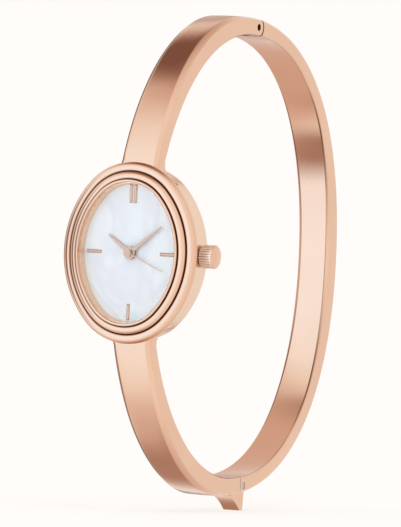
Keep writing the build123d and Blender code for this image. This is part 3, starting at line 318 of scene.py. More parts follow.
class WatchStageSizes(bpy.types.PropertyGroup):
    """Camera, floor and light"""

    azimuth: angle("Azimuth", "How far the camera stands to the right", 27.5)
    elevation: angle("Elevation", "How far the camera looks down", 0.61)
    roll: angle("Roll", "Turn of the camera about its line of sight", 2.754)
    distance: length("Distance", "Distance of the camera from its target", 994.5)
    focal_pixels: share("Focal length", "Focal length in pixels of the photograph", 7253.658)
    target: FloatVectorProperty(
        name="Target",
        description="Point at the middle of the view",
        default=(-0.00637, 0.005839, -0.001296),
    )
    floor_size: length("Floor size", "Half size of the floor", 450.0)
    fade_start: length("Fade start", "Distance at which the floor starts to fade", 90.0)
    fade_end: length("Fade end", "Distance at which the floor has faded into the backdrop", 420.0)
    floor_gap: length("Floor gap", "Gap between the watch and the floor", 0.02)
    floor_light: share("Floor light", "How brightly the lamps light the bare floor", 0.86)
    floor_shadow: share("Floor shadow", "Share of the floor's colour that takes shadow", 0.3)
    fill: share("Fill", "Strength of the world on matt surfaces", 0.8)
    brightest: share("Brightest", "Strength of the studio that polished metal mirrors", 2.1)


class WatchSettings(bpy.types.PropertyGroup):
    """Everything that a user would change"""

    band: PointerProperty(type=WatchBandSizes)
    joint: PointerProperty(type=WatchJointSizes)
    case: PointerProperty(type=WatchCaseSizes)
    crown: PointerProperty(type=WatchCrownSizes)
    colours: PointerProperty(type=WatchColours)
    stage: PointerProperty(type=WatchStageSizes)


# Materials


def set_inputs(tree, node, inputs):
    """Gives each input of a node its constant, or links it from a socket"""
    for name, value in inputs.items():
        if isinstance(value, bpy.types.NodeSocket):
            tree.links.new(value, node.inputs[name])
        else:
            node.inputs[name].default_value = value


def add_node(tree, kind, inputs=None, **settings):
    """Adds a shader node with its settings and inputs"""
    node = tree.nodes.new("ShaderNode" + kind)
    for name, value in settings.items():
        setattr(node, name, value)
    set_inputs(tree, node, inputs or {})
    return node


def empty_material(name):
    """A material that has no nodes yet, and its node tree"""
    material = bpy.data.materials.get(name) or bpy.data.materials.new(name)
    material.use_nodes = True
    material.node_tree.nodes.clear()
    return material, material.node_tree


def new_material(name, roughness, metallic=0.0, **sockets):
    """Principled material with its constant values set on the shader itself"""
    material, tree = empty_material(name)
    constants = {"Roughness": roughness, "Metallic": metallic}
    constants.update((socket.replace("_", " "), value) for socket, value in sockets.items())
    shader = add_node(tree, "BsdfPrincipled", constants)
    add_node(tree, "OutputMaterial", {"Surface": shader.outputs["BSDF"]})
    return material, tree, shader


def object_noise(tree, scale, detail=3.0, stretch=(1, 1, 1), distortion=0.0):
    """Noise on Object coordinates, with its scale given in features per metre"""
    place = add_node(tree, "TexCoord").outputs["Object"]
    mapping = add_node(tree, "Mapping", {"Vector": place, "Scale": stretch})
    inputs = {"Scale": scale, "Detail": detail, "Distortion": distortion}
    noise = add_node(tree, "TexNoise", {"Vector": mapping.outputs["Vector"], **inputs})
    return noise.outputs["Fac"]


def ramp(tree, source, stops):
    """Colour of a source through a ramp with stops of (place, colour)"""
    node = add_node(tree, "ValToRGB", {"Fac": source})
    elements = node.color_ramp.elements
    while len(elements) < len(stops):
        elements.new(0.5)
    for element, (place, value) in zip(elements, stops):
        element.position = place
        element.color = (*value, 1.0)
    return node.outputs["Color"]


def value_range(tree, source, low, high):
    """A 0 to 1 source spread between two values"""
    spread = add_node(tree, "MapRange", {"Value": source, "To Min": low, "To Max": high})
    return spread.outputs["Result"]


def distance_fade(tree, start, end):
    """Share that rises smoothly from 0 to 1 with the distance from an object's own origin"""
    place = add_node(tree, "TexCoord").outputs["Object"]
    away = add_node(tree, "VectorMath", {0: place}, operation="LENGTH").outputs["Value"]
    inputs = {"Value": away, "From Min": start, "From Max": end}
    return add_node(tree, "MapRange", inputs, interpolation_type="SMOOTHSTEP").outputs["Result"]


def show_or_clear(tree, shown, clear_share):
    """Shows a shader, or lets rays through by a share"""
    clear = add_node(tree, "BsdfTransparent").outputs["BSDF"]
    mix = add_node(tree, "MixShader", {"Fac": clear_share, 1: shown, 2: clear})
    add_node(tree, "OutputMaterial", {"Surface": mix.outputs["Shader"]})


def darker(tone, amount):
    """A colour brought down by a share"""
    return tuple(value * (1 - amount) for value in tone)


def metal(name, light, deep, roughness, brushed=(1, 1, 1), metallic=1.0, groove=None):
    """Plated or bare metal: cloudy polish in its colour, fine haze in its roughness. It takes
    painted shade, in a dark colour, where the groove layer marks grooves and creases."""
    material, tree, shader = new_material(name, roughness, metallic)
    clouds = object_noise(tree, CLOUD_SCALE, 2.0)
    tone = ramp(tree, clouds, ((0.3, deep), (0.7, light)))
    # Painted shade: the groove colour, mixed in by the marked layer
    if groove is not None:
        shade_mark = add_node(tree, "Attribute", attribute_name=GROOVE_SHADE).outputs["Fac"]
        inputs = {MIX_FACTOR: shade_mark, MIX_FIRST: tone, MIX_SECOND: (*groove, 1)}
        tone = add_node(tree, "Mix", inputs, data_type="RGBA").outputs[MIX_COLOUR]
    haze = object_noise(tree, HAZE_SCALE, 4.0, brushed)
    relief = {"Height": haze, "Strength": HAZE_STRENGTH, "Distance": HAZE_DEPTH}
    linked = {
        "Base Color": tone,
        "Roughness": value_range(tree, haze, roughness * 0.7, roughness * 1.3),
        "Normal": add_node(tree, "Bump", relief).outputs["Normal"],
    }
    set_inputs(tree, shader, linked)
    return material


def rose_gold(colours):
    """Polished rose gold plating of the case and the bangle"""
    gold, deep = colours.gold, colours.gold_deep
    # Takes painted shade in its marked grooves and creases
    return metal("rose_gold_polish", gold, deep, 0.05, groove=colours.groove)


def crown_ridges(colours):
    """Satin rose gold on the crown's ridges"""
    light, deep = colours.ridges, darker(colours.ridges, 0.05)
    # Takes painted shade in the flutes
    return metal("ridge_satin", light, deep, 0.4, metallic=0.5, groove=colours.groove)


def joint_painted_shade(colours):
    """Painted shade: dark rose gold in the holes and the joint, where no light gets"""
    return metal("joint_shade", colours.joint, darker(colours.joint, 0.2), 0.4)


def pearl(colours):
    """Mother-of-pearl: soft clouds of blue, white and rose under a clear lacquer"""
    material, tree, shader = new_material("dial_pearl", 0.22, Coat_Weight=0.25, Coat_Roughness=0.08)
    layers = object_noise(tree, 120.0, 2.5, (1.0, 1.0, 0.55), 1.4)
    stops = (
        (0.36, colours.pearl_blue),
        (0.47, colours.pearl_light),
        (0.56, colours.pearl_rose),
        (0.64, colours.pearl_light),
    )
    grain = object_noise(tree, 700.0, 3.0, (1.0, 1.0, 0.3), 0.8)
    roughness = value_range(tree, grain, 0.16, 0.3)
    set_inputs(tree, shader, {"Base Color": ramp(tree, layers, stops), "Roughness": roughness})
    return material


def crystal_glass():
    """Clear flat glass that lets the dial show as it is"""
    material, tree, shader = new_material("crystal_glass", 0.02, Alpha=0.025)
    haze = object_noise(tree, 400.0)
    tone = ramp(tree, haze, ((0.4, (0.93, 0.95, 0.97)), (0.6, (0.97, 0.98, 0.98))))
    set_inputs(tree, shader, {"Base Color": tone})
    return material


def matt(name, tone, roughness):
    """Moulded plastic, rubber or laminate with a fine grain"""
    material, tree, shader = new_material(name, roughness)
    grain = object_noise(tree, GRAIN_SCALE, 4.0)
    linked = {
        "Base Color": ramp(tree, grain, ((0.35, darker(tone, 0.2)), (0.65, tuple(tone)))),
        "Roughness": value_range(tree, grain, roughness * 0.85, min(1.0, roughness * 1.15)),
    }
    set_inputs(tree, shader, linked)
    return material


# Pieces


def object_from(name, bm):
    """Object in the scene from a finished bmesh"""
    mesh = bpy.data.meshes.new(name)
    bm.to_mesh(mesh)
    bm.free()
    made = bpy.data.objects.new(name, mesh)
    bpy.context.scene.collection.objects.link(made)
    return made


def new_piece(name, bm, material, body, node):
    """Piece from a finished bmesh, which rides on a body in place of a node"""
    piece = object_from(name, bm)
    piece.data.materials.append(material)
    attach(piece, body)
    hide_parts(node)
    return piece


def smooth(piece, crease=radians(32)):
    """Smooth shading with crisp creases, weighted towards the large faces"""
    mesh = piece.data
    mesh.shade_smooth()
    mesh.set_sharp_from_angle(angle=crease)
    weighted = piece.modifiers.new("Even shading", "WEIGHTED_NORMAL")
    weighted.keep_sharp = True
    return piece


def second_finish(piece, material, wanted):
    """Gives the faces whose middles are wanted a second finish"""
    piece.data.materials.append(material)
    for face in piece.data.polygons:
        if wanted(face.center):
            face.material_index = 1


def combine(piece, tool_mesh, operation):
    """Joins or cuts a piece with a closed bmesh, and keeps the piece's finish"""
    tool = object_from("tool", tool_mesh)
    modifier = piece.modifiers.new("Cut", "BOOLEAN")
    modifier.object = tool
    modifier.operation = operation
    modifier.solver = "MANIFOLD"
    bpy.context.view_layer.update()
    cut = piece.evaluated_get(bpy.context.evaluated_depsgraph_get())
    spent = (piece.data, tool.data)
    finish = piece.data.materials[0]
    piece.data = bpy.data.meshes.new_from_object(cut)
    piece.data.materials.clear()
    piece.data.materials.append(finish)
    piece.modifiers.clear()
    bpy.data.objects.remove(tool)
    for mesh in spent:
        bpy.data.meshes.remove(mesh)


def rods(radius, reach, *places, segments=96):
    """Closed rods that reach a distance both ways from each place"""
    bm = bmesh.new()
    for place in places:
        bmesh.ops.create_cone(
            bm,
            cap_ends=True,
            segments=segments,
            radius1=radius,
            radius2=radius,
            depth=2 * reach,
            matrix=place,
        )
    return bm


# Case


def case_arcs(case):
    """The oval's four arcs: centre, radius, start angle and turn"""
    end_radius = case.end_share * case.half_width
    end_centre = case.half_height - end_radius
    chord = case.half_width**2 + end_centre**2 - end_radius**2
    side_radius = chord / (2 * (case.half_width - end_radius))
    side_centre = side_radius - case.half_width
    side_turn = atan2(end_centre, side_centre)
    return (
        (Vector((-side_centre, 0, 0)), side_radius, -side_turn, 2 * side_turn),
        (Vector((0, 0, end_centre)), end_radius, side_turn, pi - 2 * side_turn),
        (Vector((side_centre, 0, 0)), side_radius, pi - side_turn, 2 * side_turn),
        (Vector((0, 0, -end_centre)), end_radius, pi + side_turn, pi - 2 * side_turn),
    )


def wall_height(case, inset, across):
    """Height of the oval's top at a distance across, drawn in by an inset"""
    centre, radius, _, _ = case_arcs(case)[1]
    return centre.z + sqrt((radius - inset) ** 2 - across**2)


def arc(centre, radius, start, end, steps):
    """Points of an arc in a profile, angles in degrees"""
    points = []
    for step in range(steps + 1):
        angle = radians(start + (end - start) * step / steps)
        points.append((centre[0] + radius * cos(angle), centre[1] + radius * sin(angle)))
    return points


def crystal_levels(case):
    """Heights of the crystal's rear and front faces above the dial"""
    front = case.lip_rise + case.lip_radius - case.crystal_drop
    return front - case.crystal_thickness, front


def round_case(profile, case, closed=True, grooves=()):
    """Mesh of a profile of (inset, rise) points turned round the case's oval. An open profile
    gets a flat cap at each end. Painted shade is marked round the grooves' own (inset, rise)
    points."""
    bm = bmesh.new()
    shade_marks = bm.verts.layers.float.new(GROOVE_SHADE)
    arcs = case_arcs(case)
    centre, radius, start, _ = arcs[0]
    outward = Vector((cos(start), 0, sin(start)))
    verts = []
    for inset, rise in profile:
        place = centre + outward * (radius - inset) + FACING * (case.dial_level + rise)
        vert = bm.verts.new(place)
        away = [hypot(inset - groove[0], rise - groove[1]) for groove in grooves]
        if away:
            # Painted shade: full within groove_reach of a groove's point, gone at twice that
            vert[shade_marks] = min(1.0, max(0.0, 2 - min(away) / case.groove_reach))
        verts.append(vert)
    following = verts[1:] + verts[:1] if closed else verts[1:]
    turned = verts + [bm.edges.new(pair) for pair in zip(verts, following)]
    for centre, _, _, turn in arcs:
        spun = bmesh.ops.spin(
            bm,
            geom=turned,
            cent=centre,
            axis=FACING,
            angle=turn,
            steps=case.arc_steps,
            use_merge=False,
            use_duplicate=False,
        )
        turned = spun["geom_last"]
    bmesh.ops.remove_doubles(bm, verts=bm.verts, dist=MERGE_DISTANCE)
    if not closed:
        rims = [edge for edge in bm.edges if edge.is_boundary]
        bmesh.ops.holes_fill(bm, edges=rims, sides=0)
    bmesh.ops.recalc_face_normals(bm, faces=bm.faces)
    return bm


def bezel_profile(case):
    """Outer roll, valley, higher inner roll, thin lip and the wall down to the crystal's seat,
    and the points of the two grooves, where shade is painted"""
    outer, outer_roll = (case.outer_roll, case.outer_rise), case.outer_roll
    inner, inner_roll = (case.inner_inset, case.inner_rise), case.inner_roll
    span = hypot(inner[0] - outer[0], inner[1] - outer[1])
    lean = atan2(inner[1] - outer[1], inner[0] - outer[0])
    outer_meet = acos((outer_roll**2 + span**2 - inner_roll**2) / (2 * outer_roll * span))
    inner_meet = acos((inner_roll**2 + span**2 - outer_roll**2) / (2 * inner_roll * span))
    seat_angle = 180 + degrees(asin((case.seat_drop + case.outer_rise) / outer_roll))
    lip_wall = case.lip_inset - case.lip_radius
    wall_angle = acos((lip_wall - case.inner_inset) / inner_roll)
    seat_rise = crystal_levels(case)[0]
    steps = case.round_steps
    outer_end = lean + outer_meet
    profile = arc(outer, outer_roll, seat_angle, degrees(outer_end), steps * 2)
    profile += arc(inner, inner_roll, degrees(pi + lean - inner_meet), degrees(wall_angle), steps)
    profile += arc((case.lip_inset, case.lip_rise), case.lip_radius, 180, 0, steps // 2)
    profile += [
        (case.lip_inset + case.lip_radius, seat_rise),
        (case.ring_inset, seat_rise),
        (case.ring_inset, -case.seat_drop),
    ]
    valley = (outer[0] + outer_roll * cos(outer_end), outer[1] + outer_roll * sin(outer_end))
    lip_foot = (lip_wall, case.inner_rise + inner_roll * sin(wall_angle))
    return profile, (valley, lip_foot)


def build_bezel(case, finish):
    """Ridged bezel"""
    profile, grooves = bezel_profile(case)
    # The two grooves get painted shade
    bm = round_case(profile, case, grooves=grooves)
    return smooth(new_piece("bezel_rolls", bm, finish, "case", "bezel"))


def build_case_middle(case, finish):
    """Plain side of the case with its rounded rear edge"""
    front = -case.seat_drop
    back = front - case.depth
    corner = (case.side_inset + case.back_round, back + case.back_round)
    profile = [(case.side_inset, front)]
    profile += arc(corner, case.back_round, 180, 270, case.round_steps // 2)
    inside = case.side_inset + case.wall
    profile += [(inside, back), (inside, front)]
    bm = round_case(profile, case)
    return smooth(new_piece("case_middle", bm, finish, "case", "mid_case"))


def build_caseback(case, finish):
    """Flat caseback with a rounded edge"""
    front = -case.seat_drop - case.depth
    back = front - case.back_thickness
    corner = (case.back_inset + case.back_edge, back + case.back_edge)
    profile = [(case.back_inset, front)]
    profile += arc(corner, case.back_edge, 180, 270, case.round_steps // 2)
    bm = round_case(profile, case, closed=False)
    return smooth(new_piece("case_back_plate", bm, finish, "case", "caseback"))


def build_crystal(case, finish):
    """Flat crystal with a fine chamfer"""
    bottom, top = crystal_levels(case)
    edge = case.lip_inset + case.lip_radius + case.crystal_gap
    chamfer = case.crystal_gap
    profile = [(edge, bottom), (edge, top - chamfer), (edge + chamfer, top)]
    bm = round_case(profile, case, closed=False)
    return smooth(new_piece("crystal_plate", bm, finish, "case", "crystal"))


def build_dial(case, finish):
    """Pearl dial with the hole for the hands"""
    profile = [(case.ring_inset, -case.dial_thickness), (case.ring_inset, 0)]
    bm = round_case(profile, case, closed=False)
    piece = new_piece("pearl_dial", bm, finish, "case", "dial")
    middle = Matrix.Translation(FACING * (case.dial_level - case.dial_thickness / 2))
    place = middle @ Matrix.Rotation(pi / 2, 4, "X")
    hole = rods(case.hole_radius, case.dial_thickness, place, segments=64)
    combine(piece, hole, "DIFFERENCE")
    return piece


def build_dial_ring(case, finish):
    """Sloped bright ring between the crystal and the dial"""
    top = crystal_levels(case)[0]
    profile = [
        (case.opening_inset, 0),
        (case.opening_inset - case.ring_slope, top),
        (case.ring_inset, top),
        (case.ring_inset, 0),
    ]
    bm = round_case(profile, case)
    return smooth(new_piece("dial_slope", bm, finish, "case", "dial_ring"))


# Crown


def build_crown(crown, finish, ridges):
    """Crown with fine flutes round its side, painted shade in them, and a plain domed cap"""
    bm = bmesh.new()
    shade_marks = bm.verts.layers.float.new(GROOVE_SHADE)
    steps_per_flute, dome_steps = 12, 10
    # How narrow the flutes are, how much painted shade they get, and their share of the depth at
    # the foot
    narrowness, flute_shade, foot = 5, 0.8, 0.3
    place = Matrix.Translation((crown.start, -crown.level, 0)) @ Matrix.Rotation(pi / 2, 4, "Y")
    segments = crown.flutes * steps_per_flute
    bmesh.ops.create_circle(bm, segments=segments, radius=crown.tube_radius, matrix=place)
    rim = crown.radius - crown.chamfer
    end = crown.start + crown.length
    # How far out and how wide each ring is, and how deep its flutes are and how much painted shade
    # they get
    rings = [
        (crown.start, rim, foot),
        (crown.start + crown.chamfer, crown.radius, 1.0),
        (end - 2 * crown.chamfer, crown.radius, 1.0),
        (end - 1.4 * crown.chamfer, crown.radius, 0.0),
        (end - crown.chamfer, crown.radius, 0.0),
        (end, rim, 0.0),
    ]
    dome_radius = (rim**2 + crown.dome**2) / (2 * crown.dome)
    for step in range(1, dome_steps):
        radius = rim * cos(pi / 2 * step / dome_steps)
        rise = sqrt(dome_radius**2 - radius**2) - (dome_radius - crown.dome)
        rings.append((end + rise, radius, 0.0))
    edges = list(bm.edges)
    for across, radius, flute in rings:
        grown = bmesh.ops.extrude_edge_only(bm, edges=edges)["geom"]
        edges = [item for item in grown if isinstance(item, bmesh.types.BMEdge)]
        for vert in [item for item in grown if isinstance(item, bmesh.types.BMVert)]:
            turn = atan2(vert.co.z, vert.co.y + crown.level)
            groove = flute * (0.5 + 0.5 * cos(turn * crown.flutes)) ** narrowness
            # Painted shade, darkest in the middle of each flute
            vert[shade_marks] = groove * flute_shade
            reach = radius - groove * crown.flute_depth
            vert.co = Vector((across, -crown.level + reach * cos(turn), reach * sin(turn)))
    rims = [edge for edge in bm.edges if edge.is_boundary]
    bmesh.ops.holes_fill(bm, edges=rims, sides=0)
    bmesh.ops.recalc_face_normals(bm, faces=bm.faces)
    piece = new_piece("fluted_crown", bm, finish, "winder", "crown")
    ridges_end = end - 1.2 * crown.chamfer
    second_finish(piece, ridges, lambda middle: middle.x < ridges_end)
    return smooth(piece, radians(50))


# Band


def inner_oval(band):
    """The wrist opening's oval: front, rear, half height and apex"""
    return (band.inner_front, band.inner_rear, band.inner_height, band.inner_apex)


def outer_oval(band):
    """The band's outer oval: front, rear, half height and apex"""
    return (
        band.inner_front + band.front_thickness,
        band.inner_rear + band.rear_thickness,
        band.inner_height + band.top_thickness,
        band.outer_apex,
    )


def oval_point(band, oval, along):
    """Point (back, up) of an oval's upper half, 0 at the front, 1 at the top, 2 at the rear"""
    front, rear, height, apex = oval
    if along <= 1:
        full, t = band.front_fullness, along
        pull = apex - full * (front + apex)
        knots = ((-front, 0), (-front, full * height), (pull, height), (apex, height))
    else:
        full, t = band.rear_fullness, along - 1
        pull = apex + full * (rear - apex)
        knots = ((apex, height), (pull, height), (rear, full * height), (rear, 0))
    weights = ((1 - t) ** 3, 3 * t * (1 - t) ** 2, 3 * t**2 * (1 - t), t**3)
    return (
        sum(weight * knot[0] for weight, knot in zip(weights, knots)),
        sum(weight * knot[1] for weight, knot in zip(weights, knots)),
    )


def halved_to(low, high, before):
    """Value between two limits up to which a test holds, found by halving"""
    for _ in range(HALVINGS):
        middle = (low + high) / 2
        if before(middle):
            low = middle
        else:
            high = middle
    return low


def oval_on_ray(band, oval, centre, slope):
    """Point where a ray from a centre, sloping up from the rear, meets an oval's upper half"""

    def before(along):
        back, up = oval_point(band, oval, along)
        return cos(slope) * (up - centre[1]) - sin(slope) * (back - centre[0]) > 0

    return oval_point(band, oval, halved_to(0.0, 2.0, before))


def ovals_on_ray(band, centre, slope):
    """Inner and outer points of the band on a ray, and the thickness between them"""
    inner = oval_on_ray(band, inner_oval(band), centre, slope)
    outer = oval_on_ray(band, outer_oval(band), centre, slope)
    return inner, outer, hypot(outer[0] - inner[0], outer[1] - inner[1])


def oval_at_height(band, oval, height):
    """How far back an oval's front is at a height"""
    along = halved_to(0.0, 1.0, lambda middle: oval_point(band, oval, middle)[1] < height)
    return oval_point(band, oval, along)[0]


def soften(outline, reach):
    """Every corner of a closed outline as a small round of three points"""
    rounded = []
    for index, corner in enumerate(outline):
        ends = []
        for other in (outline[index - 1], outline[(index + 1) % len(outline)]):
            run = (other[0] - corner[0], other[1] - corner[1])
            span = hypot(*run)
            step = min(reach, ROUND_SHARE * span) / max(span, SHORTEST_SPAN)
            ends.append((corner[0] + run[0] * step, corner[1] + run[1] * step))
        middle = tuple(ends[0][axis] / 4 + corner[axis] / 2 + ends[1][axis] / 4 for axis in (0, 1))
        rounded += [ends[0], middle, ends[1]]
    return rounded


def arm_outline(band, half_width, thickness, bevel):
    """Section of an arm as (across, height above the inner face): bevelled outer edges"""
    face = half_width - bevel
    inner = band.inner_round
    edge = thickness - band.face_crown
    side = edge - BEVEL_DROP * bevel
    shoulder = thickness - band.face_crown / 4
    return [
        (-face, edge),
        (-half_width, side),
        (-half_width, inner),
        (-half_width + inner, 0),
        (half_width - inner, 0),
        (half_width, inner),
        (half_width, side),
        (face, edge),
        (face / 2, shoulder),
        (0, thickness),
        (-face / 2, shoulder),
    ]


def bow_outline(band, half_width, thickness, lens):
    """Section of the bow: rounded outer edges and a lens-shaped bevel on the inner ones"""
    outer = band.bow_round
    corner = 0.3 * outer
    across = max(band.inner_round, lens * band.lens_width)
    depth = max(band.inner_round, lens * band.lens_depth)
    beside = across + band.inner_round
    outline = []
    for side in (-1, 1):
        points = [
            (side * (half_width - outer), thickness),
            (side * (half_width - corner), thickness - corner),
            (side * half_width, thickness - outer),
            (side * half_width, depth),
            (side * (half_width - across), 0),
            (side * (half_width - beside), 0),
        ]
        outline += points if side < 0 else points[::-1]
    return outline


def width_at(band, back):
    """Half width of the band at a distance back"""
    front, rear = outer_oval(band)[:2]
    slope = (band.front_width - band.rear_width) / (front + rear)
    return (band.front_width - slope * (front + back)) / 2


def loft(sections, grooves=None):
    """Mesh through closed loops of points, each extruded from the one before. Grooves are how
    much painted shade each point of each loop gets."""
    bm = bmesh.new()
    shade_marks = bm.verts.layers.float.new(GROOVE_SHADE)
    verts = [bm.verts.new(point) for point in sections[0]]
    edges = [bm.edges.new(pair) for pair in zip(verts, verts[1:] + verts[:1])]
    bm.faces.new(verts)
    for index, section in enumerate(sections[1:], 1):
        grown = bmesh.ops.extrude_edge_only(bm, edges=edges)["geom"]
        fresh = {item for item in grown if isinstance(item, bmesh.types.BMVert)}
        following = []
        for vert in verts:
            partners = (edge.other_vert(vert) for edge in vert.link_edges)
            following.append(next(partner for partner in partners if partner in fresh))
        for place, (vert, point) in enumerate(zip(following, section)):
            vert.co = point
            vert[shade_marks] = grooves[index][place] if grooves else 0.0
        edges = [bm.edges.get(pair) for pair in zip(following, following[1:] + following[:1])]
        verts = following
    bm.faces.new(verts)
    bmesh.ops.recalc_face_normals(bm, faces=bm.faces)
    return bm


def place_section(outline, inner, outer, side):
    """Points of a section between an inner and an outer point of the side view"""
    span = hypot(outer[0] - inner[0], outer[1] - inner[1])
    back, up = (outer[0] - inner[0]) / span, (outer[1] - inner[1]) / span
    return [
        Vector((across, inner[0] + back * height, side * (inner[1] + up * height)))
        for across, height in outline
    ]


def arm_bevel(band, share_up):
    """Width of an arm's bevel, from the case (0) to the band's end (1)"""
    widest, slowness = 0.45, 1.5
    rising = min(1.0, share_up / widest)
    falling = max(0.0, (share_up - widest) / (1 - widest))
    bevel = band.root_bevel + (band.middle_bevel - band.root_bevel) * rising
    return bevel + (band.end_bevel - band.middle_bevel) * falling**slowness


def shoulder_sections(band, joint, case, side):
    """Sections of an arm's flared root, from the case's wall out to the straight arm"""
    start = joint.shoulder_start
    half = width_at(band, -outer_oval(band)[0])
    inset = case.side_inset - joint.seam
    tip = wall_height(case, inset, joint.shoulder_width)
    spread = joint.shoulder_width - half
    flare = (spread**2 + (start - tip) ** 2) / (2 * spread)
    outline = arm_outline(band, half, band.front_thickness, band.root_bevel)
    outline = soften(outline, band.edge_round)
    sections = []
    for step in range(joint.shoulder_steps):
        along = 1 - step / joint.shoulder_steps
        fall = along * (start - tip)
        reach = half + flare - sqrt(flare**2 - fall**2)
        points = []
        for across, height in outline:
            wide = across / half
            up = start - along * (start - wall_height(case, inset, wide * joint.shoulder_width))
            inner = oval_at_height(band, inner_oval(band), up)
            outer = oval_at_height(band, outer_oval(band), up)
            back = inner + (outer - inner) * height / band.front_thickness
            points.append(Vector((wide * reach, back, side * up)))
        sections.append(points)
    return sections


def arm_sections(band, joint, case, end_back, side):
    """Sections of an arm from the case to its end at a distance back"""
    sections = shoulder_sections(band, joint, case, side)
    centre = (end_back, joint.shoulder_start)
    for step in range(band.arm_steps + 1):
        share_up = step / band.arm_steps
        inner, outer, thickness = ovals_on_ray(band, centre, pi - pi / 2 * share_up)
        half = width_at(band, outer[0])
        outline = arm_outline(band, half, thickness, arm_bevel(band, share_up))
        sections.append(place_section(soften(outline, band.edge_round), inner, outer, side))
    return sections


def bow_sections(band, joint):
    """Sections of the rear bow from the hinge round to the clasp, and the painted shade of their
    points: a painted shade line along the inner bevel's crease, strongest half way up and down"""
    sections, grooves = [], []
    half_steps = band.bow_steps // 2
    clasp_face = joint.clasp_back + joint.clasp_gap
    for step in range(2 * half_steps + 1):
        upper = step <= half_steps
        centre = (joint.hinge_back if upper else clasp_face, 0)
        slope = pi / 2 * abs(half_steps - step) / half_steps
        inner, outer, thickness = ovals_on_ray(band, centre, slope)
        lens = max(0.0, 1 - (inner[1] / band.lens_height) ** 2)
        outline = bow_outline(band, width_at(band, outer[0]), thickness, lens)
        side = 1 if upper else -1
        sections.append(place_section(soften(outline, band.edge_round), inner, outer, side))
        # Painted shade along the crease, strongest where the bevel has half faded
        crease = 4 * lens * (1 - lens)
        # A softened corner has three points, and corners 4 and 7 are the bevel's inner edges
        marked = [crease if corner in (4, 7) else 0.0 for corner in range(len(outline))]
        grooves.append([shade_mark for shade_mark in marked for _ in range(3)])
    return sections, grooves


def across_band(side, back, up):
    """Place of a rod that lies across the band"""
    return Matrix.Translation((side, back, up)) @ Matrix.Rotation(pi / 2, 4, "Y")


def recess_pair(radius, depth, half_width, back, up):
    """Two short rods that reach a depth into both sides of the band"""
    places = [across_band(side, back, up) for side in (-half_width, half_width)]
    return rods(radius, depth, *places, segments=64)


def side_prism(outline, half_width):
    """Closed prism across the band from an outline of (back, up) points"""
    bm = bmesh.new()
    verts = [bm.verts.new((-half_width, back, up)) for back, up in outline]
    grown = bmesh.ops.extrude_face_region(bm, geom=[bm.faces.new(verts)])["geom"]
    fresh = [item for item in grown if isinstance(item, bmesh.types.BMVert)]
    bmesh.ops.translate(bm, verts=fresh, vec=(2 * half_width, 0, 0))
    bmesh.ops.recalc_face_normals(bm, faces=bm.faces)
    return bm


def from_pin(joint, middle):
    """Distance of a point from the hinge pin's axis"""
    return hypot(middle.y - joint.hinge_back, middle.z - joint.hinge_height)


def build_upper_arm(band, joint, case, finish, shade):
    """Front arm from 12 o'clock to the fork of the hinge, with a round end about the pin"""
    at_pin = (joint.hinge_back, joint.hinge_height)
    reach = joint.hinge_radius + joint.hinge_gap
    bm = loft(arm_sections(band, joint, case, joint.hinge_back + reach, 1))
    piece = new_piece("arm_above", bm, finish, "case", "upper_arm")
    half = width_at(band, joint.hinge_back)
    behind = 2 * joint.hinge_height
    eye_steps = 48
    room = [(joint.hinge_back, 0), (behind, 0), (behind, behind), (joint.hinge_back, behind)]
    room += arc(at_pin, joint.hinge_radius, 90, -90, eye_steps)
    combine(piece, side_prism(room, band.front_width), "DIFFERENCE")
    slot = rods(reach, joint.tongue_width + joint.hinge_gap, across_band(0, *at_pin))
    combine(piece, slot, "DIFFERENCE")
    holes = recess_pair(joint.pin_radius, joint.pin_recess, half, *at_pin)
    combine(piece, holes, "DIFFERENCE")
    inside = half - joint.pin_recess / 3

    def in_holes(middle):
        return from_pin(joint, middle) < joint.pin_radius and abs(middle.x) < inside

    # Painted shade on the walls of the pin's holes
    second_finish(piece, shade, in_holes)
    return smooth(piece)


def build_lower_arm(band, joint, case, finish):
    """Front arm from 6 o'clock to the clasp"""
    bm = loft(arm_sections(band, joint, case, joint.clasp_back, -1))
    return smooth(new_piece("arm_below", bm, finish, "case", "lower_arm"))


def build_rear_bow(band, joint, finish, shade):
    """Rear bow with its cup and tongue at the hinge"""
    # The inner bevel's crease gets a painted shade line
    bm = loft(*bow_sections(band, joint))
    piece = new_piece("bow_rear", bm, finish, "bow", "rear_bow")
    pin_back, pin_up, eye = joint.hinge_back, joint.hinge_height, joint.hinge_radius
    on_pin = across_band(0, pin_back, pin_up)
    cup = eye + joint.cup_gap
    combine(piece, rods(cup, band.front_width, on_pin), "DIFFERENCE")
    reach = 3 * eye
    stop = pi / 2 - joint.opening
    corners = [(0, 0), (reach * cos(stop), reach * sin(stop)), (0, reach)]
    wedge = [(pin_back + back, pin_up + up) for back, up in corners]
    combine(piece, side_prism(wedge, band.front_width), "DIFFERENCE")
    combine(piece, rods(joint.knuckle_radius, joint.tongue_width, on_pin), "UNION")
    neck_length, neck_height = 1.5 * eye, 1.2 * eye
    neck_size = Matrix.Diagonal((2 * joint.tongue_width, neck_length, neck_height, 1))
    neck_place = Matrix.Translation((0, pin_back + neck_length / 2, pin_up))
    neck = bmesh.new()
    bmesh.ops.create_cube(neck, size=1.0, matrix=neck_place @ neck_size)
    combine(piece, neck, "UNION")
    clasp_pin_back = joint.clasp_back + joint.clasp_gap + joint.clasp_pin_inset
    half = width_at(band, clasp_pin_back)
    radius, depth = joint.clasp_head_radius, joint.clasp_head_depth
    heads = recess_pair(radius, depth, half, clasp_pin_back, -pin_up)
    combine(piece, heads, "DIFFERENCE")

    def in_cup(middle):
        return abs(from_pin(joint, middle) - cup) < joint.hinge_gap / 2

    # Painted shade on the faces round the cup
    second_finish(piece, shade, in_cup)
    return smooth(piece)


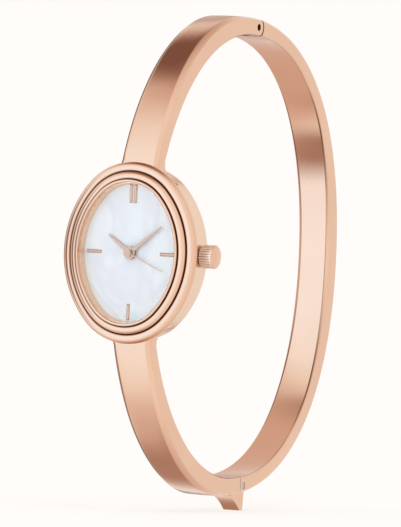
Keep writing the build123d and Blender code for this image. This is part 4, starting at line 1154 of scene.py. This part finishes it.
def build_thumb_lip(band, joint, finish):
    """Thumb lip under the clasp, hollowed in front, whose edge reaches under the lower arm"""
    below = band.inner_height + band.top_thickness
    face = joint.clasp_back
    gap = joint.clasp_gap
    tip = -(below + joint.lip_depth)
    tip_back = face + joint.lip_tip_back
    root = -below + gap / 2
    base = -band.inner_height - band.top_thickness / 2
    front = (face - joint.lip_front, -below - joint.lip_edge)
    run = (tip_back - joint.lip_tip - front[0], tip - front[1])
    span = hypot(*run)
    hollow_steps = 14
    outline = [(front[0], root)]
    for step in range(hollow_steps + 1):
        along = step / hollow_steps
        bow = 4 * along * (1 - along) * joint.lip_hollow
        back = front[0] + run[0] * along - run[1] / span * bow
        outline.append((back, front[1] + run[1] * along + run[0] / span * bow))
    rear = face + joint.lip_back
    outline += [(tip_back, tip), (rear, base), (face + gap, base), (face + gap, root)]
    bm = side_prism(outline, joint.lip_half_width)
    creases = [edge for edge in bm.edges if edge.calc_face_angle(0) > radians(30)]
    bmesh.ops.bevel(
        bm,
        geom=creases,
        offset=joint.lip_round,
        offset_type="OFFSET",
        segments=3,
        profile=0.5,
        affect="EDGES",
        material=-1,
    )
    return smooth(new_piece("lip_for_thumb", bm, finish, "bow", "thumb_lip"))


# Stage


def camera_axes(stage):
    """The camera's own right, up and backward directions"""
    azimuth, elevation, roll = stage.azimuth, stage.elevation, stage.roll
    level = cos(elevation)
    backward = Vector((sin(azimuth) * level, -cos(azimuth) * level, sin(elevation)))
    sideways = Vector((cos(azimuth), sin(azimuth), 0))
    upward = backward.cross(sideways)
    right = sideways * cos(roll) + upward * sin(roll)
    return right, upward * cos(roll) - sideways * sin(roll), backward


def place_camera(stage):
    """Long lens at the photograph's angle"""
    camera = bpy.data.objects.new("camera", bpy.data.cameras.new("camera"))
    bpy.context.scene.collection.objects.link(camera)
    axes = camera_axes(stage)
    place = Matrix.Translation(Vector(stage.target) + axes[2] * stage.distance)
    camera.matrix_world = place @ Matrix(axes).transposed().to_4x4()
    camera.data.sensor_width = SENSOR_WIDTH
    camera.data.lens = stage.focal_pixels / max(IMAGE_SIZE) * SENSOR_WIDTH
    camera.data.clip_start = 0.01
    camera.data.clip_end = 20.0
    bpy.context.scene.camera = camera


def turned_to(place, direction):
    """Matrix of a thing at a place whose back is turned to a direction"""
    return Matrix.Translation(place) @ direction.to_track_quat("Z", "Y").to_matrix().to_4x4()


def soft_box(name, place, width, height, radiance):
    """Lamp aimed at the watch, which lights it and isn't mirrored in it"""
    lamp = bpy.data.lights.new(name, "AREA")
    lamp.shape = "RECTANGLE"
    lamp.size = width
    lamp.size_y = height
    lamp.energy = pi * width * height * radiance
    box = bpy.data.objects.new(name, lamp)
    bpy.context.scene.collection.objects.link(box)
    box.matrix_world = turned_to(Vector(place), Vector(place))
    box.visible_glossy = False


def mirror_card(name, place, towards, width, height, tone):
    """Dim card near the watch, which only its polished metal sees"""
    bm = bmesh.new()
    bmesh.ops.create_grid(bm, x_segments=1, y_segments=1, size=0.5)
    card = object_from(name, bm)
    material, tree = empty_material(name)
    glow = add_node(tree, "Emission", {"Color": (*tone, 1)}).outputs["Emission"]
    show_or_clear(tree, glow, distance_fade(tree, *CARD_FADE))
    card.data.materials.append(material)
    turned = turned_to(place, towards - place)
    card.matrix_world = turned @ Matrix.Diagonal((width, height, 1, 1))
    card.visible_camera = False
    card.visible_diffuse = False
    card.visible_transmission = False
    card.visible_shadow = False


def dot_with(tree, vector, direction):
    """Dot product of a vector with a direction"""
    inputs = {0: vector, 1: direction}
    return add_node(tree, "VectorMath", inputs, operation="DOT_PRODUCT").outputs["Value"]


def math_node(tree, operation, *values):
    """Result of an operation on constants and sockets"""
    inputs = dict(enumerate(values))
    return add_node(tree, "Math", inputs, operation=operation).outputs["Value"]


def mirrored_studio(tree, bright, strength):
    """World as polished metal mirrors it: bright all round the horizon, cool and brightest
    towards its bright side, dark high above and far below and at a flag behind on the left"""
    direction = add_node(tree, "TexCoord").outputs["Generated"]
    towards = dot_with(tree, direction, bright)
    place = add_node(tree, "MapRange", {"Value": towards, "From Min": -1.0}).outputs["Result"]
    tints = [
        ((cosine + 1) / 2, tuple(value / strength for value in tone))
        for cosine, tone in STUDIO_TINTS
    ]
    up = add_node(tree, "SeparateXYZ", {"Vector": direction}).outputs["Z"]
    height = math_node(tree, "MAXIMUM", up, math_node(tree, "MULTIPLY", up, -STUDIO_BELOW))
    raised = math_node(tree, "ADD", height, STUDIO_LEAN_START)
    steepness = math_node(tree, "ADD", dot_with(tree, direction, STUDIO_LEAN), raised)
    flagged = dot_with(tree, direction, FLAG_DIRECTION)
    flagged = math_node(tree, "MULTIPLY_ADD", height, FLAG_NARROWING, flagged)
    product = ramp(tree, steepness, STUDIO_LEVELS)
    for factor in (ramp(tree, place, tints), ramp(tree, flagged, FLAG_TONES)):
        both = add_node(tree, "VectorMath", {0: product, 1: factor}, operation="MULTIPLY")
        product = both.outputs["Vector"]
    mirrored = add_node(tree, "Background", {"Color": product, "Strength": strength})
    return mirrored.outputs["Background"]


def light_world(stage, colours):
    """World: pale for the camera, even on matt surfaces, and a soft studio in polished ones"""
    world = bpy.data.worlds.new("studio")
    bpy.context.scene.world = world
    world.use_nodes = True
    tree = world.node_tree
    tree.nodes.clear()
    path = add_node(tree, "LightPath")
    even = add_node(tree, "Background", {"Color": (1, 1, 1, 1), "Strength": stage.fill})
    bright = (-sin(stage.azimuth), -cos(stage.azimuth), 0)
    seen = add_node(tree, "Background", {"Color": (*colours.background, 1)})
    choices = (
        ("Is Glossy Ray", mirrored_studio(tree, bright, stage.brightest)),
        ("Is Camera Ray", seen.outputs["Background"]),
    )
    shown = even.outputs["Background"]
    for ray, special in choices:
        mix = add_node(tree, "MixShader", {"Fac": path.outputs[ray], 1: shown, 2: special})
        shown = mix.outputs["Shader"]
    add_node(tree, "OutputWorld", {"Surface": shown})


def floor_material(stage, colours):
    """Pale floor round the watch that keeps its soft shadow, fades into the backdrop and lets
    reflections see the studio"""
    material, tree = empty_material("pale_floor")
    lit = stage.floor_shadow
    matt_tone = (*(value * lit for value in colours.background), 1)
    glow_tone = (*(value * (1 - lit * stage.floor_light) for value in colours.background), 1)
    diffuse = add_node(tree, "BsdfDiffuse", {"Color": matt_tone}).outputs["BSDF"]
    glow = add_node(tree, "Emission", {"Color": glow_tone}).outputs["Emission"]
    both = add_node(tree, "AddShader", {0: diffuse, 1: glow}).outputs["Shader"]
    mirrored = add_node(tree, "LightPath").outputs["Is Glossy Ray"]
    fade = distance_fade(tree, stage.fade_start, stage.fade_end)
    show_or_clear(tree, both, math_node(tree, "MAXIMUM", fade, mirrored))
    return material


class WATCH_OT_stage(bpy.types.Operator):
    """Adds the camera, the floor and the light"""

    bl_idname = "watch.stage"
    bl_label = "Stage"

    def execute(self, context):
        settings = context.scene.watch
        stage = settings.stage
        place_camera(stage)
        light_world(stage, settings.colours)
        bm = bmesh.new()
        bmesh.ops.create_grid(bm, x_segments=1, y_segments=1, size=stage.floor_size)
        below = (0, 0, frame_box[0][2] - stage.floor_gap)
        bmesh.ops.translate(bm, verts=bm.verts, vec=below)
        floor = object_from("floor", bm)
        floor.data.materials.append(floor_material(stage, settings.colours))
        for box in SOFT_BOXES:
            soft_box(*box)
        for name, place, towards, width, height, tone in MIRROR_CARDS:
            at, faced = Vector(place) * MM, Vector(towards) * MM
            mirror_card(name, at, faced, width * MM, height * MM, tone)
        context.scene.view_settings.view_transform = "Standard"
        return {"FINISHED"}


class WATCH_OT_case(bpy.types.Operator):
    """Adds the bezel, the case's side and the caseback"""

    bl_idname = "watch.case"
    bl_label = "Case"

    def execute(self, context):
        settings = context.scene.watch
        case, tone = settings.case, settings.colours.case_side
        finish = rose_gold(settings.colours)
        build_bezel(case, finish)
        build_case_middle(case, metal("case_side_satin", tone, darker(tone, 0.05), 0.3))
        build_caseback(case, finish)
        return {"FINISHED"}


class WATCH_OT_dial(bpy.types.Operator):
    """Adds the dial, its sloped ring and the crystal"""

    bl_idname = "watch.dial"
    bl_label = "Dial"

    def execute(self, context):
        settings = context.scene.watch
        case, tone = settings.case, settings.colours.ring
        build_dial(case, pearl(settings.colours))
        build_dial_ring(case, metal("ring_satin", tone, darker(tone, 0.06), 0.4))
        build_crystal(case, crystal_glass())
        return {"FINISHED"}


class WATCH_OT_crown(bpy.types.Operator):
    """Adds the fluted crown"""

    bl_idname = "watch.crown"
    bl_label = "Crown"

    def execute(self, context):
        settings = context.scene.watch
        colours = settings.colours
        build_crown(settings.crown, rose_gold(colours), crown_ridges(colours))
        return {"FINISHED"}


class WATCH_OT_bangle(bpy.types.Operator):
    """Adds the two arms, the rear bow and the thumb lip"""

    bl_idname = "watch.bangle"
    bl_label = "Bangle"

    def execute(self, context):
        settings = context.scene.watch
        band, joint, case = settings.band, settings.joint, settings.case
        finish = rose_gold(settings.colours)
        # Painted shade for the hinge's holes and cup
        shade = joint_painted_shade(settings.colours)
        build_upper_arm(band, joint, case, finish, shade)
        build_lower_arm(band, joint, case, finish)
        build_rear_bow(band, joint, finish, shade)
        build_thumb_lip(band, joint, finish)
        return {"FINISHED"}


class WATCH_OT_inner_finish(bpy.types.Operator):
    """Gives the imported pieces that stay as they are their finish"""

    bl_idname = "watch.inner_finish"
    bl_label = "Inner finish"

    def execute(self, context):
        colours = context.scene.watch.colours
        hands, steel, copper = colours.hands, colours.steel, colours.copper
        finishes = {
            "rose_gold": rose_gold(colours),
            "dark_rose_gold": metal("hand_polish", hands, darker(hands, 0.1), 0.12),
            "steel": metal("fine_steel", steel, darker(steel, 0.2), 0.25, (8, 1, 1)),
            "brass": metal("movement_brass", colours.brass, darker(colours.brass, 0.15), 0.3),
            "copper": metal("wound_copper", copper, darker(copper, 0.3), 0.35, (30, 1, 1)),
            "board": matt("circuit_laminate", colours.board, 0.5),
            "nylon": matt("moulded_nylon", colours.nylon, 0.55),
            "seal": matt("gasket_rubber", colours.seal, 0.7),
        }
        slots = {part["node"]: part["material_slot"] for part in frame["record"]["subparts"]}
        for name, node in frame["nodes"].items():
            if slots[name] in finishes:
                node.data.materials.clear()
                node.data.materials.append(finishes[slots[name]])
        return {"FINISHED"}


class WATCH_PT_panel(bpy.types.Panel):
    """Lists the watch's operators"""

    bl_label = "Bangle Watch"
    bl_space_type = "VIEW_3D"
    bl_region_type = "UI"
    bl_category = "Watch"

    def draw(self, context):
        for operator in OPERATORS:
            self.layout.operator(operator.bl_idname)


OPERATORS = (
    WATCH_OT_stage,
    WATCH_OT_inner_finish,
    WATCH_OT_case,
    WATCH_OT_dial,
    WATCH_OT_crown,
    WATCH_OT_bangle,
)
CLASSES = (
    WatchBandSizes,
    WatchJointSizes,
    WatchCaseSizes,
    WatchCrownSizes,
    WatchColours,
    WatchStageSizes,
    WatchSettings,
    *OPERATORS,
    WATCH_PT_panel,
)


def register():
    for one in CLASSES:
        bpy.utils.register_class(one)
    bpy.types.Scene.watch = PointerProperty(type=WatchSettings)


def unregister():
    del bpy.types.Scene.watch
    for one in reversed(CLASSES):
        bpy.utils.unregister_class(one)


def main():
    """Builds the whole watch"""
    register()
    bpy.ops.watch.stage()
    bpy.ops.watch.inner_finish()
    bpy.ops.watch.case()
    bpy.ops.watch.dial()
    bpy.ops.watch.crown()
    bpy.ops.watch.bangle()


if __name__ == "__main__":
    main()
